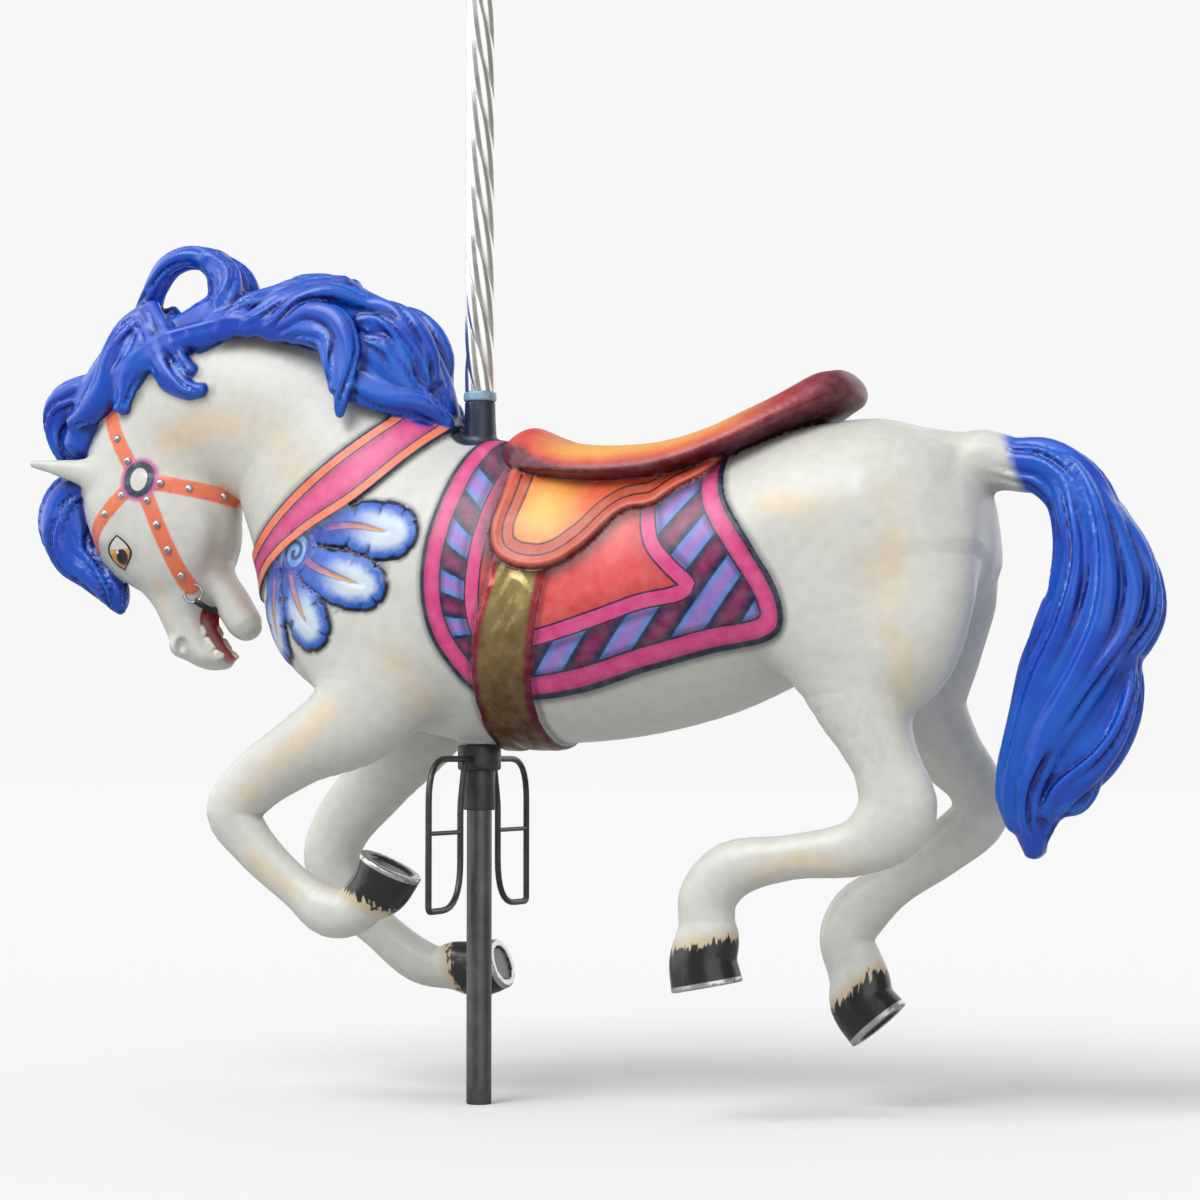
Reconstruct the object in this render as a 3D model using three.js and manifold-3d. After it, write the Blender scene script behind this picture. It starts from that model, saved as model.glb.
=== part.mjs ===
// Carousel horse on its pole: the cast jumper, its pole, the twisted sleeve with its ring and the
// footrest with two stirrup loops.
// Millimetres, +Z up. The head looks along -X and the rider's left is -Y. The origin is the middle
// of the pole's foot.
import * as THREE from "three";
import Module from "manifold-3d";

// ---- driving sizes ----
const POLE_R = 16.7;
const POLE_TOP = 1570;
const FOOT_EDGE = 2;
const BORE_R = 17.0;
const SLEEVE_R = 19.2;
const SLEEVE_RIB = 1.2;
const SLEEVE_STARTS = 4;
const SLEEVE_LEAD = 268;
const SLEEVE_BOTTOM = 948.3;
const SLEEVE_TOP = 1530;
const RING_R = 22;
const RING_BOTTOM = 935.3;
const RING_TOP = 948;
const BOSS_TOP = 935;
const BELLY_Z = 476;
const COLLAR_R = 28.9;
const COLLAR_TOP = 475.7;
const COLLAR_BOTTOM = 442;
const LOWER_SLEEVE_R = 21;
const LOWER_SLEEVE_BOTTOM = 389;
const STIRRUP_BAR_R = 4.2;
const STIRRUP_RUNG_R = 3;
const STIRRUP_OUT = 172;
const STIRRUP_IN = 66;
const STIRRUP_TOP = 457;
const STIRRUP_RUNG_Z = 361;
const STIRRUP_LOW = 261;
const GAP = 0.3;

const wasm = await Module();
wasm.setup();

// ---- helpers ----
// A manifold solid from a three.js geometry.
function solid(geometry) {
  const flat = geometry.index ? geometry.toNonIndexed() : geometry;
  const pos = flat.getAttribute("position");
  const keys = new Map();
  const verts = [];
  const tris = [];
  for (let i = 0; i < pos.count; i += 3) {
    const ids = [0, 1, 2].map((k) => {
      const p = [pos.getX(i + k), pos.getY(i + k), pos.getZ(i + k)];
      const key = p.map((c) => Math.round(c * 1000)).join();
      if (!keys.has(key)) {
        keys.set(key, verts.length / 3);
        verts.push(...p);
      }
      return keys.get(key);
    });
    if (new Set(ids).size === 3) {
      tris.push(...ids);
    }
  }
  return new wasm.Manifold(
    new wasm.Mesh({
      numProp: 3,
      vertProperties: new Float32Array(verts),
      triVerts: new Uint32Array(tris),
    }),
  );
}

function geometryOf(manifold) {
  const mesh = manifold.getMesh();
  const geometry = new THREE.BufferGeometry();
  const count = mesh.vertProperties.length / mesh.numProp;
  const positions = new Float32Array(count * 3);
  for (let i = 0; i < count; i += 1) {
    for (let k = 0; k < 3; k += 1) {
      positions[i * 3 + k] = mesh.vertProperties[i * mesh.numProp + k];
    }
  }
  geometry.setAttribute("position", new THREE.BufferAttribute(positions, 3));
  geometry.setIndex(Array.from(mesh.triVerts));
  return geometry;
}

// A closed skin over rings of points, each ring a list of Vector3 of one length. Each end closes on
// its tip, or on the middle of its ring.
function skin(rings, tips = []) {
  const n = rings[0].length;
  const verts = [];
  const index = [];
  rings.forEach((ring) => ring.forEach((p) => verts.push(p.x, p.y, p.z)));
  for (let r = 0; r + 1 < rings.length; r += 1) {
    for (let i = 0; i < n; i += 1) {
      const a = r * n + i;
      const b = r * n + ((i + 1) % n);
      index.push(a, b, b + n, a, b + n, a + n);
    }
  }
  const ends = [rings[0], rings[rings.length - 1]];
  ends.forEach((ring, e) => {
    const middle = tips[e] ?? new THREE.Vector3();
    if (!tips[e]) {
      ring.forEach((p) => middle.addScaledVector(p, 1 / n));
    }
    const c = verts.length / 3;
    const first = e ? (rings.length - 1) * n : 0;
    verts.push(middle.x, middle.y, middle.z);
    for (let i = 0; i < n; i += 1) {
      const a = first + i;
      const b = first + ((i + 1) % n);
      index.push(...(e ? [a, b, c] : [b, a, c]));
    }
  });
  const geometry = new THREE.BufferGeometry();
  geometry.setAttribute("position", new THREE.Float32BufferAttribute(verts, 3));
  geometry.setIndex(index);
  return geometry;
}

// A limb: stations [x, y, z, up, side] or [x, y, z, up, side, down] joined along a smooth spine.
// "up" lies in the spine's own plane, "side" across it. Both ends are rounded off.
function limb(stations, { around = 14, steps = 3, grow = 0, dome = 0.7 } = {}) {
  const spine = new THREE.CatmullRomCurve3(
    stations.map(([x, y, z]) => new THREE.Vector3(x, y, z)),
    false,
    "centripetal",
  );
  const sizes = new THREE.CatmullRomCurve3(
    stations.map(([, , , up, side, down = up]) => new THREE.Vector3(up, side, down)),
    false,
    "centripetal",
  );
  const count = (stations.length - 1) * steps;
  const rings = [];
  const tipAt = (t, shift) => {
    const size = sizes.getPoint(t);
    const reach = shift * (Math.min(size.x, size.y) + grow);
    return spine.getPoint(t).addScaledVector(spine.getTangent(t), reach);
  };
  const ringAt = (t, shift, shrink) => {
    const along = spine.getTangent(t);
    const side = new THREE.Vector3(0, 1, 0).addScaledVector(along, -along.y).normalize();
    const up = new THREE.Vector3().crossVectors(along, side);
    const size = sizes.getPoint(t);
    const at = tipAt(t, shift);
    const ring = [];
    for (let i = 0; i < around; i += 1) {
      const angle = (2 * Math.PI * i) / around + Math.PI / 2;
      const s = Math.sin(angle);
      const high = (s > 0 ? size.x : size.z) + grow;
      ring.push(
        at
          .clone()
          .addScaledVector(side, Math.cos(angle) * (size.y + grow) * shrink)
          .addScaledVector(up, s * high * shrink),
      );
    }
    return ring;
  };
  rings.push(ringAt(0, -dome * 0.65, 0.68));
  for (let i = 0; i <= count; i += 1) {
    rings.push(ringAt(i / count, 0, 1));
  }
  rings.push(ringAt(1, dome * 0.65, 0.68));
  return solid(skin(rings, [tipAt(0, -dome), tipAt(1, dome)]));
}

const mirror = (stations) => stations.map(([x, y, z, ...rest]) => [x, -y, z, ...rest]);
const join = (parts) => parts.reduce((whole, one) => whole.add(one));

// A slab across the horse with a smooth outline given as [x, z] points.
function slab(points, from, to) {
  const outline = new THREE.SplineCurve(
    [...points, points[0]].map(([x, z]) => new THREE.Vector2(x, z)),
  ).getPoints(points.length);
  outline.pop();
  const shape = new THREE.Shape(outline);
  const geometry = new THREE.ExtrudeGeometry(shape, { depth: to - from, bevelEnabled: false });
  geometry.rotateX(Math.PI / 2);
  geometry.translate(0, to, 0);
  return solid(geometry);
}

function ringSolid(profile, segments = 20) {
  const points = profile.map(([r, z]) => new THREE.Vector2(r, z));
  const made = new THREE.LatheGeometry(points, segments);
  made.rotateX(Math.PI / 2);
  const body = solid(made);
  return body.volume() < 0 ? solid(made.scale(-1, 1, 1)) : body;
}

// ---- the horse's stations ----
const TORSO = [
  [-285, 0, 668, 75, 68],
  [-240, 0, 670, 122, 108],
  [-165, 0, 675, 158, 138],
  [-80, 0, 684, 180, 152],
  [0, 0, 680, 200, 163],
  [100, 0, 665, 188, 171],
  [200, 0, 664, 180, 174],
  [300, 0, 677, 170, 172],
  [400, 0, 706, 155, 168],
  [480, 0, 737, 148, 164],
  [556, 0, 748, 144, 156],
  [616, 0, 744, 128, 138],
  [662, 0, 738, 100, 106],
];
const NECK = [
  [-120, 0, 715, 195, 128],
  [-168, 0, 765, 192, 112],
  [-218, 0, 826, 168, 96],
  [-262, 0, 878, 146, 84],
  [-316, 0, 916, 128, 76],
  [-384, 0, 932, 114, 70],
  [-448, 0, 918, 100, 66],
  [-500, 0, 882, 86, 62],
];
const HEAD = [
  [-540, 0, 890, 52, 48],
  [-512, 0, 855, 92, 66],
  [-478, 0, 805, 108, 80],
  [-446, 0, 750, 92, 76],
  [-432, 0, 700, 62, 60],
  [-432, 0, 655, 38, 47],
  [-421, 0, 622, 31, 43],
  [-399, 0, 600, 21, 38],
  [-380, 0, 593, 14, 28],
];
const JAW = [
  [-400, 0, 760, 44, 52],
  [-382, 0, 712, 27, 40],
  [-368, 0, 672, 24, 31],
  [-350, 0, 644, 24, 28],
  [-341, 0, 634, 18, 22],
];
const EAR = [
  [-545, -36, 850, 27, 20],
  [-585, -42, 856, 17, 13],
  [-628, -47, 864, 9, 7],
  [-654, -50, 868, 5, 5],
];
const FORE_NEAR = [
  [-85, -96, 600, 100, 62],
  [-120, -112, 520, 68, 50],
  [-205, -122, 468, 46, 40],
  [-270, -126, 425, 40, 34],
  [-299, -128, 388, 37, 33],
  [-270, -130, 344, 30, 27],
  [-205, -132, 288, 26, 23],
  [-156, -133, 257, 33, 28],
  [-125, -133, 258, 31, 27],
  [-103, -133, 276, 33, 31],
  [-84, -133, 292, 40, 37],
  [-70, -133, 318, 44, 41],
];
const FORE_FAR = [
  [-95, 96, 600, 98, 62],
  [-125, 106, 520, 70, 50],
  [-195, 112, 430, 48, 40],
  [-255, 116, 362, 42, 34],
  [-270, 118, 316, 40, 33],
  [-245, 120, 264, 32, 27],
  [-195, 122, 218, 28, 24],
  [-142, 122, 180, 30, 27],
  [-108, 122, 170, 28, 26],
  [-84, 122, 173, 33, 30],
  [-48, 122, 169, 37, 35],
  [-16, 122, 178, 34, 38],
];
const HIND_NEAR = [
  [568, -72, 690, 146, 78],
  [588, -92, 608, 122, 68],
  [572, -101, 548, 90, 56],
  [582, -110, 495, 62, 45],
  [594, -116, 445, 45, 36],
  [604, -121, 390, 50, 33],
  [560, -124, 350, 36, 27],
  [470, -126, 335, 28, 24],
  [392, -127, 318, 36, 29],
  [362, -127, 285, 37, 30],
  [360, -127, 252, 36, 30],
  [361, -127, 232, 40, 34],
  [355, -127, 204, 43, 38],
  [360, -127, 173, 46, 41],
];
const HIND_FAR = [
  [560, 72, 695, 138, 78],
  [562, 92, 610, 100, 66],
  [556, 103, 532, 62, 50],
  [580, 111, 465, 40, 38],
  [618, 116, 420, 35, 33],
  [648, 118, 384, 38, 32],
  [600, 120, 338, 34, 27],
  [540, 121, 296, 30, 24],
  [488, 122, 254, 38, 29],
  [472, 122, 222, 36, 30],
  [484, 122, 184, 38, 30],
  [490, 122, 165, 40, 34],
  [493, 122, 138, 43, 38],
  [515, 122, 110, 45, 41],
];

// Hair: the mane's mass along the crest and the locks that stand off it.
const MANE_MASS = [
  [-596, 0, 896, 34, 36],
  [-574, 0, 948, 38, 44],
  [-538, 0, 998, 42, 46],
  [-500, 0, 1034, 42, 46],
  [-440, 0, 1044, 32, 44],
  [-378, 0, 1062, 42, 44],
  [-318, 0, 1064, 38, 42],
  [-252, 0, 1064, 52, 44],
  [-185, 0, 1038, 58, 46],
  [-125, 0, 996, 58, 44],
  [-84, 0, 952, 44, 36],
  [-52, 0, 915, 24, 26],
];
const HAIR_LOOP = [
  [-506, 0, 1066, 18, 24],
  [-491, 0, 1112, 17, 22],
  [-468, 0, 1143, 17, 22],
  [-432, 0, 1154, 17, 22],
  [-398, 0, 1142, 20, 24],
  [-382, 0, 1106, 24, 27],
  [-376, 0, 1066, 26, 30],
];
const BROW_CURL = [
  [-556, 0, 968, 30, 36],
  [-600, 0, 968, 28, 36],
  [-632, 0, 952, 28, 32],
  [-640, 0, 918, 20, 26],
  [-630, 0, 886, 15, 20],
  [-614, 0, 868, 8, 12],
];
const FORELOCK = [
  [-592, 0, 846, 24, 28],
  [-622, 0, 824, 34, 32],
  [-628, 0, 785, 42, 36],
  [-612, 0, 742, 36, 34],
  [-580, 0, 718, 30, 30],
  [-556, 0, 696, 25, 28],
  [-545, 0, 674, 15, 18],
  [-541, 0, 662, 6, 8],
];
const FRONT_LOCK = [
  [-500, -28, 1066, 16, 14],
  [-466, -50, 1024, 18, 15],
  [-436, -66, 984, 18, 15],
  [-400, -74, 960, 13, 12],
  [-378, -75, 958, 8, 8],
];
const FRONT_LOCK_2 = [
  [-482, -28, 1080, 15, 13],
  [-450, -48, 1044, 15, 13],
  [-424, -60, 1010, 13, 12],
  [-400, -68, 985, 9, 9],
];
const ARCHED_LOCK = [
  [-290, -34, 1040, 14, 13],
  [-248, -46, 1066, 19, 16],
  [-202, -58, 1062, 21, 18],
  [-178, -70, 1018, 18, 16],
  [-174, -84, 965, 15, 14],
  [-168, -92, 926, 9, 9],
];
const TOP_LOBE = [
  [-300, 0, 1082, 20, 30],
  [-255, 0, 1096, 25, 34],
  [-205, 0, 1092, 24, 34],
  [-160, 0, 1066, 20, 30],
];
const REAR_LOBE = [
  [-150, 0, 1050, 20, 40],
  [-110, 0, 1032, 24, 42],
  [-86, 0, 998, 20, 38],
  [-82, 0, 962, 12, 28],
];
const LOW_LOCK = [
  [-186, -70, 984, 12, 12],
  [-148, -74, 952, 21, 16],
  [-104, -60, 936, 21, 18],
  [-64, -42, 926, 20, 18],
  [-38, -26, 904, 14, 14],
];
const TAIL_MASS = [
  [688, 0, 838, 30, 28],
  [728, 0, 828, 34, 32],
  [768, 0, 822, 38, 36],
  [806, 0, 790, 42, 42],
  [824, 0, 735, 48, 48],
  [832, 0, 672, 62, 54],
  [822, 0, 610, 68, 56],
  [802, 0, 545, 70, 56],
  [784, 0, 482, 66, 52],
  [762, 0, 425, 44, 40],
  [750, 0, 378, 28, 28],
  [748, 0, 340, 12, 13],
];
const TAIL_LOCKS = [
  [
    [824, 0, 786, 16, 28],
    [850, 0, 732, 24, 38],
    [876, 0, 680, 28, 40],
    [886, 0, 640, 22, 34],
    [872, 0, 602, 10, 20],
  ],
  [
    [846, 14, 640, 22, 30],
    [849, 16, 580, 25, 34],
    [844, 14, 520, 23, 32],
    [828, 8, 476, 16, 26],
    [806, 2, 440, 10, 16],
  ],
  [
    [806, -32, 560, 26, 24],
    [802, -32, 500, 27, 24],
    [796, -26, 450, 22, 20],
    [790, -18, 412, 12, 12],
  ],
  [
    [776, 4, 650, 14, 34],
    [752, 6, 565, 24, 40],
    [730, 6, 482, 24, 38],
    [718, 4, 422, 18, 30],
    [724, 0, 376, 11, 18],
  ],
];
// The saddle's seat: its rim lies at the station and its crown stands "up" above that.
const SEAT = [
  [50, 0, 862, 18, 40, 14],
  [66, 0, 848, 52, 78, 18],
  [96, 0, 838, 50, 108, 17],
  [140, 0, 830, 44, 128, 16],
  [200, 0, 824, 44, 140, 15],
  [285, 0, 828, 44, 142, 15],
  [350, 0, 846, 42, 136, 15],
  [402, 0, 868, 42, 126, 15],
  [450, 0, 893, 40, 108, 16],
  [496, 0, 916, 39, 80, 18],
  [520, 0, 926, 30, 54, 24],
];
// Outlines of what is carried on the body, as [x, z].
const BLANKET = [
  [40, 930],
  [14, 860],
  [0, 797],
  [-14, 726],
  [-16, 675],
  [-6, 620],
  [17, 577],
  [44, 545],
  [90, 532],
  [190, 540],
  [286, 567],
  [375, 590],
  [455, 607],
  [470, 624],
  [466, 662],
  [430, 727],
  [390, 790],
  [378, 840],
  [378, 930],
];
const FLAP = [
  [98, 870],
  [84, 795],
  [78, 752],
  [86, 722],
  [110, 703],
  [150, 696],
  [182, 704],
  [218, 729],
  [258, 770],
  [296, 777],
  [320, 796],
  [364, 828],
  [372, 880],
];
const GIRTH = [
  [94, 760],
  [84, 690],
  [58, 608],
  [46, 541],
  [42, 487],
  [44, 455],
  [118, 455],
  [124, 505],
  [131, 554],
  [146, 622],
  [160, 690],
  [166, 760],
];
const COLLAR_BAND = [
  [-70, 975],
  [-112, 912],
  [-195, 842],
  [-290, 760],
  [-350, 700],
  [-330, 662],
  [-272, 708],
  [-200, 754],
  [-126, 797],
  [-66, 852],
  [-20, 920],
];
const PETALS = [
  [
    [-168, -104, 770, 16, 12],
    [-112, -122, 768, 31, 13],
    [-60, -134, 757, 36, 13],
    [-30, -140, 745, 20, 9],
  ],
  [
    [-188, -110, 738, 15, 12],
    [-142, -126, 708, 29, 13],
    [-104, -136, 674, 33, 13],
    [-82, -140, 650, 19, 9],
  ],
  [
    [-226, -100, 704, 14, 12],
    [-206, -106, 664, 27, 13],
    [-188, -104, 628, 29, 13],
    [-178, -104, 602, 17, 9],
  ],
  [
    [-262, -76, 694, 12, 10],
    [-256, -72, 650, 23, 12],
    [-246, -64, 610, 24, 12],
    [-240, -56, 582, 13, 8],
  ],
];
const BOSS_FLARE = 36;

// ---- the horse, cast as one ----
const whole = { around: 16, steps: 1, dome: 0.5 };
const both = (stations, how) => [limb(stations, how), limb(mirror(stations), how)];
const hair = { around: 6, steps: 1 };
const torso = limb(TORSO, whole);
const carriedOn = (stations, how, grow, outline) =>
  limb(stations, { ...how, grow }).intersect(slab(outline, -260, 260));
const neckShape = { around: 12, steps: 1 };
const horseParts = [
  torso,
  limb(NECK, neckShape),
  limb(HEAD, { around: 12, steps: 1 }),
  limb(JAW, { around: 8, steps: 1 }),
  ...both(EAR, { around: 6, steps: 1 }),
  ...[FORE_NEAR, FORE_FAR, HIND_NEAR, HIND_FAR].map((s) => limb(s, { around: 8, steps: 1, dome: 0.06 })),
  limb(MANE_MASS, { around: 8, steps: 1 }),
  limb(HAIR_LOOP, { around: 8, steps: 1 }),
  limb(BROW_CURL, { around: 8, steps: 1 }),
  limb(FORELOCK, { around: 8, steps: 1 }),
  ...[FRONT_LOCK, ARCHED_LOCK, LOW_LOCK].flatMap((s) => both(s, hair)),
  limb(FRONT_LOCK_2, hair),
  limb(TOP_LOBE, hair),
  limb(REAR_LOBE, hair),
  limb(TAIL_MASS, { around: 10, steps: 1 }),
  ...TAIL_LOCKS.map((s) => limb(s, hair)),
  limb(SEAT, { around: 12, steps: 1, dome: 0.3 }),
  carriedOn(TORSO, whole, 5, BLANKET),
  carriedOn(TORSO, whole, 12, FLAP),
  carriedOn(TORSO, whole, 9, GIRTH),
  carriedOn(NECK, neckShape, 6, COLLAR_BAND),
  ...PETALS.map((s) => limb(s, { around: 6, steps: 1 })),
  ringSolid(
    [
      [0, BELLY_Z],
      [25, BELLY_Z],
      [33, BELLY_Z + 14],
      [BOSS_FLARE, 888],
      [22, 906],
      [20.5, BOSS_TOP],
      [0, BOSS_TOP],
    ],
    16,
  ),
];
const bore = ringSolid([
  [0, 400],
  [BORE_R, 400],
  [BORE_R, 1000],
  [0, 1000],
]);
const horse = join(horseParts).subtract(bore);

// ---- the pole and what sits on it ----
const pole = ringSolid([
  [0, 0],
  [POLE_R - FOOT_EDGE, 0],
  [POLE_R - FOOT_EDGE / 3, FOOT_EDGE / 3],
  [POLE_R, FOOT_EDGE],
  [POLE_R, POLE_TOP - FOOT_EDGE],
  [POLE_R - FOOT_EDGE, POLE_TOP],
  [0, POLE_TOP],
]);
const tube = (outer, bottom, top, round) =>
  ringSolid([
    [POLE_R + GAP, bottom],
    [outer - round, bottom],
    [outer, bottom + round],
    [outer, top - round],
    [outer - round, top],
    [POLE_R + GAP, top],
    [POLE_R + GAP, bottom],
  ]);

// The sleeve: a tube whose ribs wind round it.
function twistedSleeve() {
  const n = SLEEVE_STARTS * 3;
  const turns = (SLEEVE_TOP - SLEEVE_BOTTOM) / SLEEVE_LEAD;
  const levels = Math.round(turns * 15);
  const rings = [];
  for (let k = 0; k <= levels; k += 1) {
    const z = SLEEVE_BOTTOM + ((SLEEVE_TOP - SLEEVE_BOTTOM) * k) / levels;
    const turn = (2 * Math.PI * turns * k) / levels;
    const ring = [];
    for (let i = 0; i < n; i += 1) {
      const angle = (2 * Math.PI * i) / n;
      const r = SLEEVE_R + SLEEVE_RIB * Math.cos(SLEEVE_STARTS * angle);
      const at = angle - turn;
      ring.push(new THREE.Vector3(r * Math.cos(at), r * Math.sin(at), z));
    }
    rings.push(ring);
  }
  const core = ringSolid([
    [0, SLEEVE_BOTTOM - 10],
    [POLE_R + GAP, SLEEVE_BOTTOM - 10],
    [POLE_R + GAP, SLEEVE_TOP + 10],
    [0, SLEEVE_TOP + 10],
  ]);
  return solid(skin(rings)).subtract(core);
}

// A round bar bent through points, each corner rounded by its own radius.
function bar(corners, r, around = 6) {
  const path = new THREE.CurvePath();
  const points = corners.map(([x, y, z]) => new THREE.Vector3(x, y, z));
  let from = points[0];
  for (let i = 1; i + 1 < points.length; i += 1) {
    const bend = corners[i][3];
    const before = points[i].clone().lerp(from, bend / points[i].distanceTo(from));
    const after = points[i].clone().lerp(points[i + 1], bend / points[i].distanceTo(points[i + 1]));
    path.add(new THREE.LineCurve3(from, before));
    path.add(new THREE.QuadraticBezierCurve3(before, points[i], after));
    from = after;
  }
  path.add(new THREE.LineCurve3(from, points[points.length - 1]));
  const rings = [];
  path.curves.forEach((curve, c) => {
    const pieces = curve.isLineCurve3 ? 1 : 4;
    for (let k = c ? 1 : 0; k <= pieces; k += 1) {
      const at = curve.getPoint(k / pieces);
      const along = curve.getTangent(k / pieces);
      const side = new THREE.Vector3(1, 0, 0);
      const up = new THREE.Vector3().crossVectors(along, side);
      const ring = [];
      for (let i = 0; i < around; i += 1) {
        const angle = (2 * Math.PI * i) / around;
        ring.push(
          at
            .clone()
            .addScaledVector(side, r * Math.cos(angle))
            .addScaledVector(up, r * Math.sin(angle)),
        );
      }
      rings.push(ring);
    }
  });
  return solid(skin(rings));
}

// One stirrup loop, on the side given by sign, hung from the collar.
function stirrup(sign) {
  const y = (v) => sign * v;
  const frame = bar(
    [
      [0, y(COLLAR_R - 4), STIRRUP_TOP],
      [0, y(STIRRUP_OUT), STIRRUP_TOP, 56],
      [0, y(STIRRUP_OUT), STIRRUP_LOW, 8],
      [0, y(STIRRUP_IN), STIRRUP_LOW, 62],
      [0, y(STIRRUP_IN), STIRRUP_TOP - 60, 14],
      [0, y(COLLAR_R + 22), STIRRUP_TOP - 2],
    ],
    STIRRUP_BAR_R,
  );
  const rung = bar(
    [
      [0, y(STIRRUP_IN), STIRRUP_RUNG_Z],
      [0, y(STIRRUP_OUT), STIRRUP_RUNG_Z],
    ],
    STIRRUP_RUNG_R,
  );
  return frame.add(rung);
}
const footrest = join([
  tube(COLLAR_R, COLLAR_BOTTOM, COLLAR_TOP, 4),
  tube(LOWER_SLEEVE_R, LOWER_SLEEVE_BOTTOM, COLLAR_BOTTOM + 3, 1.5),
  stirrup(-1),
  stirrup(1),
]);

const group = new THREE.Group();
const NODES = [
  ["horse", horse, 0xd9dad2, 0.35, 0],
  ["steel_pole", pole, 0x5a5a5a, 0.5, 1],
  ["twisted_sleeve", twistedSleeve(), 0xc9c9c9, 0.15, 1],
  ["boss_ring", tube(RING_R, RING_BOTTOM, RING_TOP, 3), 0x96c3d7, 0.3, 0.2],
  ["footrest", footrest, 0x4c4c4e, 0.45, 1],
];
NODES.forEach(([name, body, colour, roughness, metalness]) => {
  const material = new THREE.MeshStandardMaterial({ color: colour, roughness, metalness });
  const mesh = new THREE.Mesh(geometryOf(body), material);
  mesh.name = name;
  group.add(mesh);
});

export default group;
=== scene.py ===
"""Carousel horse: a cast and painted jumper on its pole, with a twisted sleeve and footrest."""

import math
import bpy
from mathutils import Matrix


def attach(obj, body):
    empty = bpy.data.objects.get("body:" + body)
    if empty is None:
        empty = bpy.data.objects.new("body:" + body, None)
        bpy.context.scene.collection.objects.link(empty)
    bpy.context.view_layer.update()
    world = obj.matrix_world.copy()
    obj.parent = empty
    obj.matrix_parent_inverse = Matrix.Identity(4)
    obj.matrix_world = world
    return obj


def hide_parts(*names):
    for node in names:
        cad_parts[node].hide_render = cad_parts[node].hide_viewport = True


bl_info = {
    "name": "Carousel Horse",
    "version": (1, 0, 0),
    "blender": (4, 5, 0),
    "location": "View3D > Sidebar > Carousel Horse",
    "description": "Builds a painted carousel horse on its pole",
    "category": "Add Mesh",
}

from concurrent.futures import ThreadPoolExecutor

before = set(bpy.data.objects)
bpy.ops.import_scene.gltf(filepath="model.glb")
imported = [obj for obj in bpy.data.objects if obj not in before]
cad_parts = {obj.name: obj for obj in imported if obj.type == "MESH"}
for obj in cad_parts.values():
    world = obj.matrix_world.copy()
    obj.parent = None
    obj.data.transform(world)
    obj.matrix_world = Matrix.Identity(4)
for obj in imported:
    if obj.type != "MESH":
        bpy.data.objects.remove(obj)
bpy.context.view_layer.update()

import bmesh
import bpy
import numpy as np
from mathutils import Vector

MM = 0.001
FAR = 0.12
NONE = np.zeros(0, int)

# Grid step of the horse's skin in millimetres, and about how many triangles are kept of it.
SKIN_STEP = 4.0
SKIN_TRIANGLES = 190000
# Lengths in millimetres, except the sole's rim, which is a share of the hoof's half width.
HOOF_LENGTH = 50
FAR_FORE_HOOF_LENGTH = 62
SOLE_RIM = 0.72
STRIPE_PITCH = 76.0
FRONT_STRIPE_PITCH = 72.0
BORE = 17
SHARP_ANGLE = math.radians(50)

# Stations of each form, in millimetres: x, y, z, half height, half width and, where it differs,
# the half height of the other side. The first half height lies above a spine that runs to the rear,
# below one that runs forwards and behind one that runs down.
TORSO = [
    [-272, 0, 672, 72, 62],
    [-234, 0, 673, 114, 100],
    [-165, 0, 675, 158, 138],
    [-80, 0, 684, 180, 152],
    [0, 0, 680, 200, 163],
    [100, 0, 665, 188, 171],
    [200, 0, 664, 180, 174],
    [300, 0, 677, 170, 172],
    [400, 0, 706, 155, 168],
    [480, 0, 737, 148, 164],
    [556, 0, 748, 144, 156],
    [612, 0, 746, 124, 134],
    [656, 0, 748, 94, 98],
]
NECK = [
    [-120, 0, 715, 190, 128, 195],
    [-168, 0, 765, 158, 108, 192],
    [-218, 0, 826, 130, 92, 168],
    [-262, 0, 878, 110, 80, 146],
    [-316, 0, 916, 110, 76, 128],
    [-384, 0, 932, 106, 70, 114],
    [-448, 0, 918, 98, 66, 100],
    [-500, 0, 882, 86, 62, 86],
]
HEAD = [
    [-540, 0, 890, 52, 48],
    [-512, 0, 855, 92, 66],
    [-478, 0, 805, 115, 80, 108],
    [-448, 0, 750, 76, 72, 84],
    [-434, 0, 700, 54, 58, 60],
    [-432, 0, 655, 38, 47],
    [-421, 0, 622, 31, 43],
    [-399, 0, 600, 21, 38],
    [-380, 0, 593, 14, 28],
]
JAW = [
    [-414, 0, 760, 31, 42, 28],
    [-391, 0, 712, 19, 34, 20],
    [-368, 0, 672, 24, 31],
    [-350, 0, 644, 24, 28],
    [-341, 0, 634, 18, 22],
]
EAR = [
    [-545, -36, 850, 27, 20],
    [-585, -42, 856, 17, 13],
    [-628, -47, 864, 9, 7],
    [-654, -50, 868, 5, 5],
]
FORE_NEAR = [
    [-85, -96, 600, 100, 62],
    [-120, -112, 520, 68, 50],
    [-205, -122, 468, 46, 40],
    [-270, -126, 425, 40, 34],
    [-299, -128, 388, 37, 33],
    [-270, -130, 344, 30, 27],
    [-205, -132, 288, 26, 23],
    [-156, -133, 257, 33, 28],
    [-125, -133, 258, 31, 27],
    [-103, -133, 276, 33, 31],
    [-84, -133, 292, 40, 37],
    [-70, -133, 318, 44, 41],
]
FORE_FAR = [
    [-95, 96, 600, 98, 62],
    [-125, 106, 520, 70, 50],
    [-195, 112, 430, 48, 40],
    [-255, 116, 362, 42, 34],
    [-270, 118, 316, 40, 33],
    [-245, 120, 264, 32, 27],
    [-195, 122, 218, 28, 24],
    [-142, 122, 180, 30, 27],
    [-108, 122, 170, 28, 26],
    [-84, 122, 173, 33, 30],
    [-48, 122, 169, 37, 35],
    [-16, 122, 178, 34, 38],
]
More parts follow.
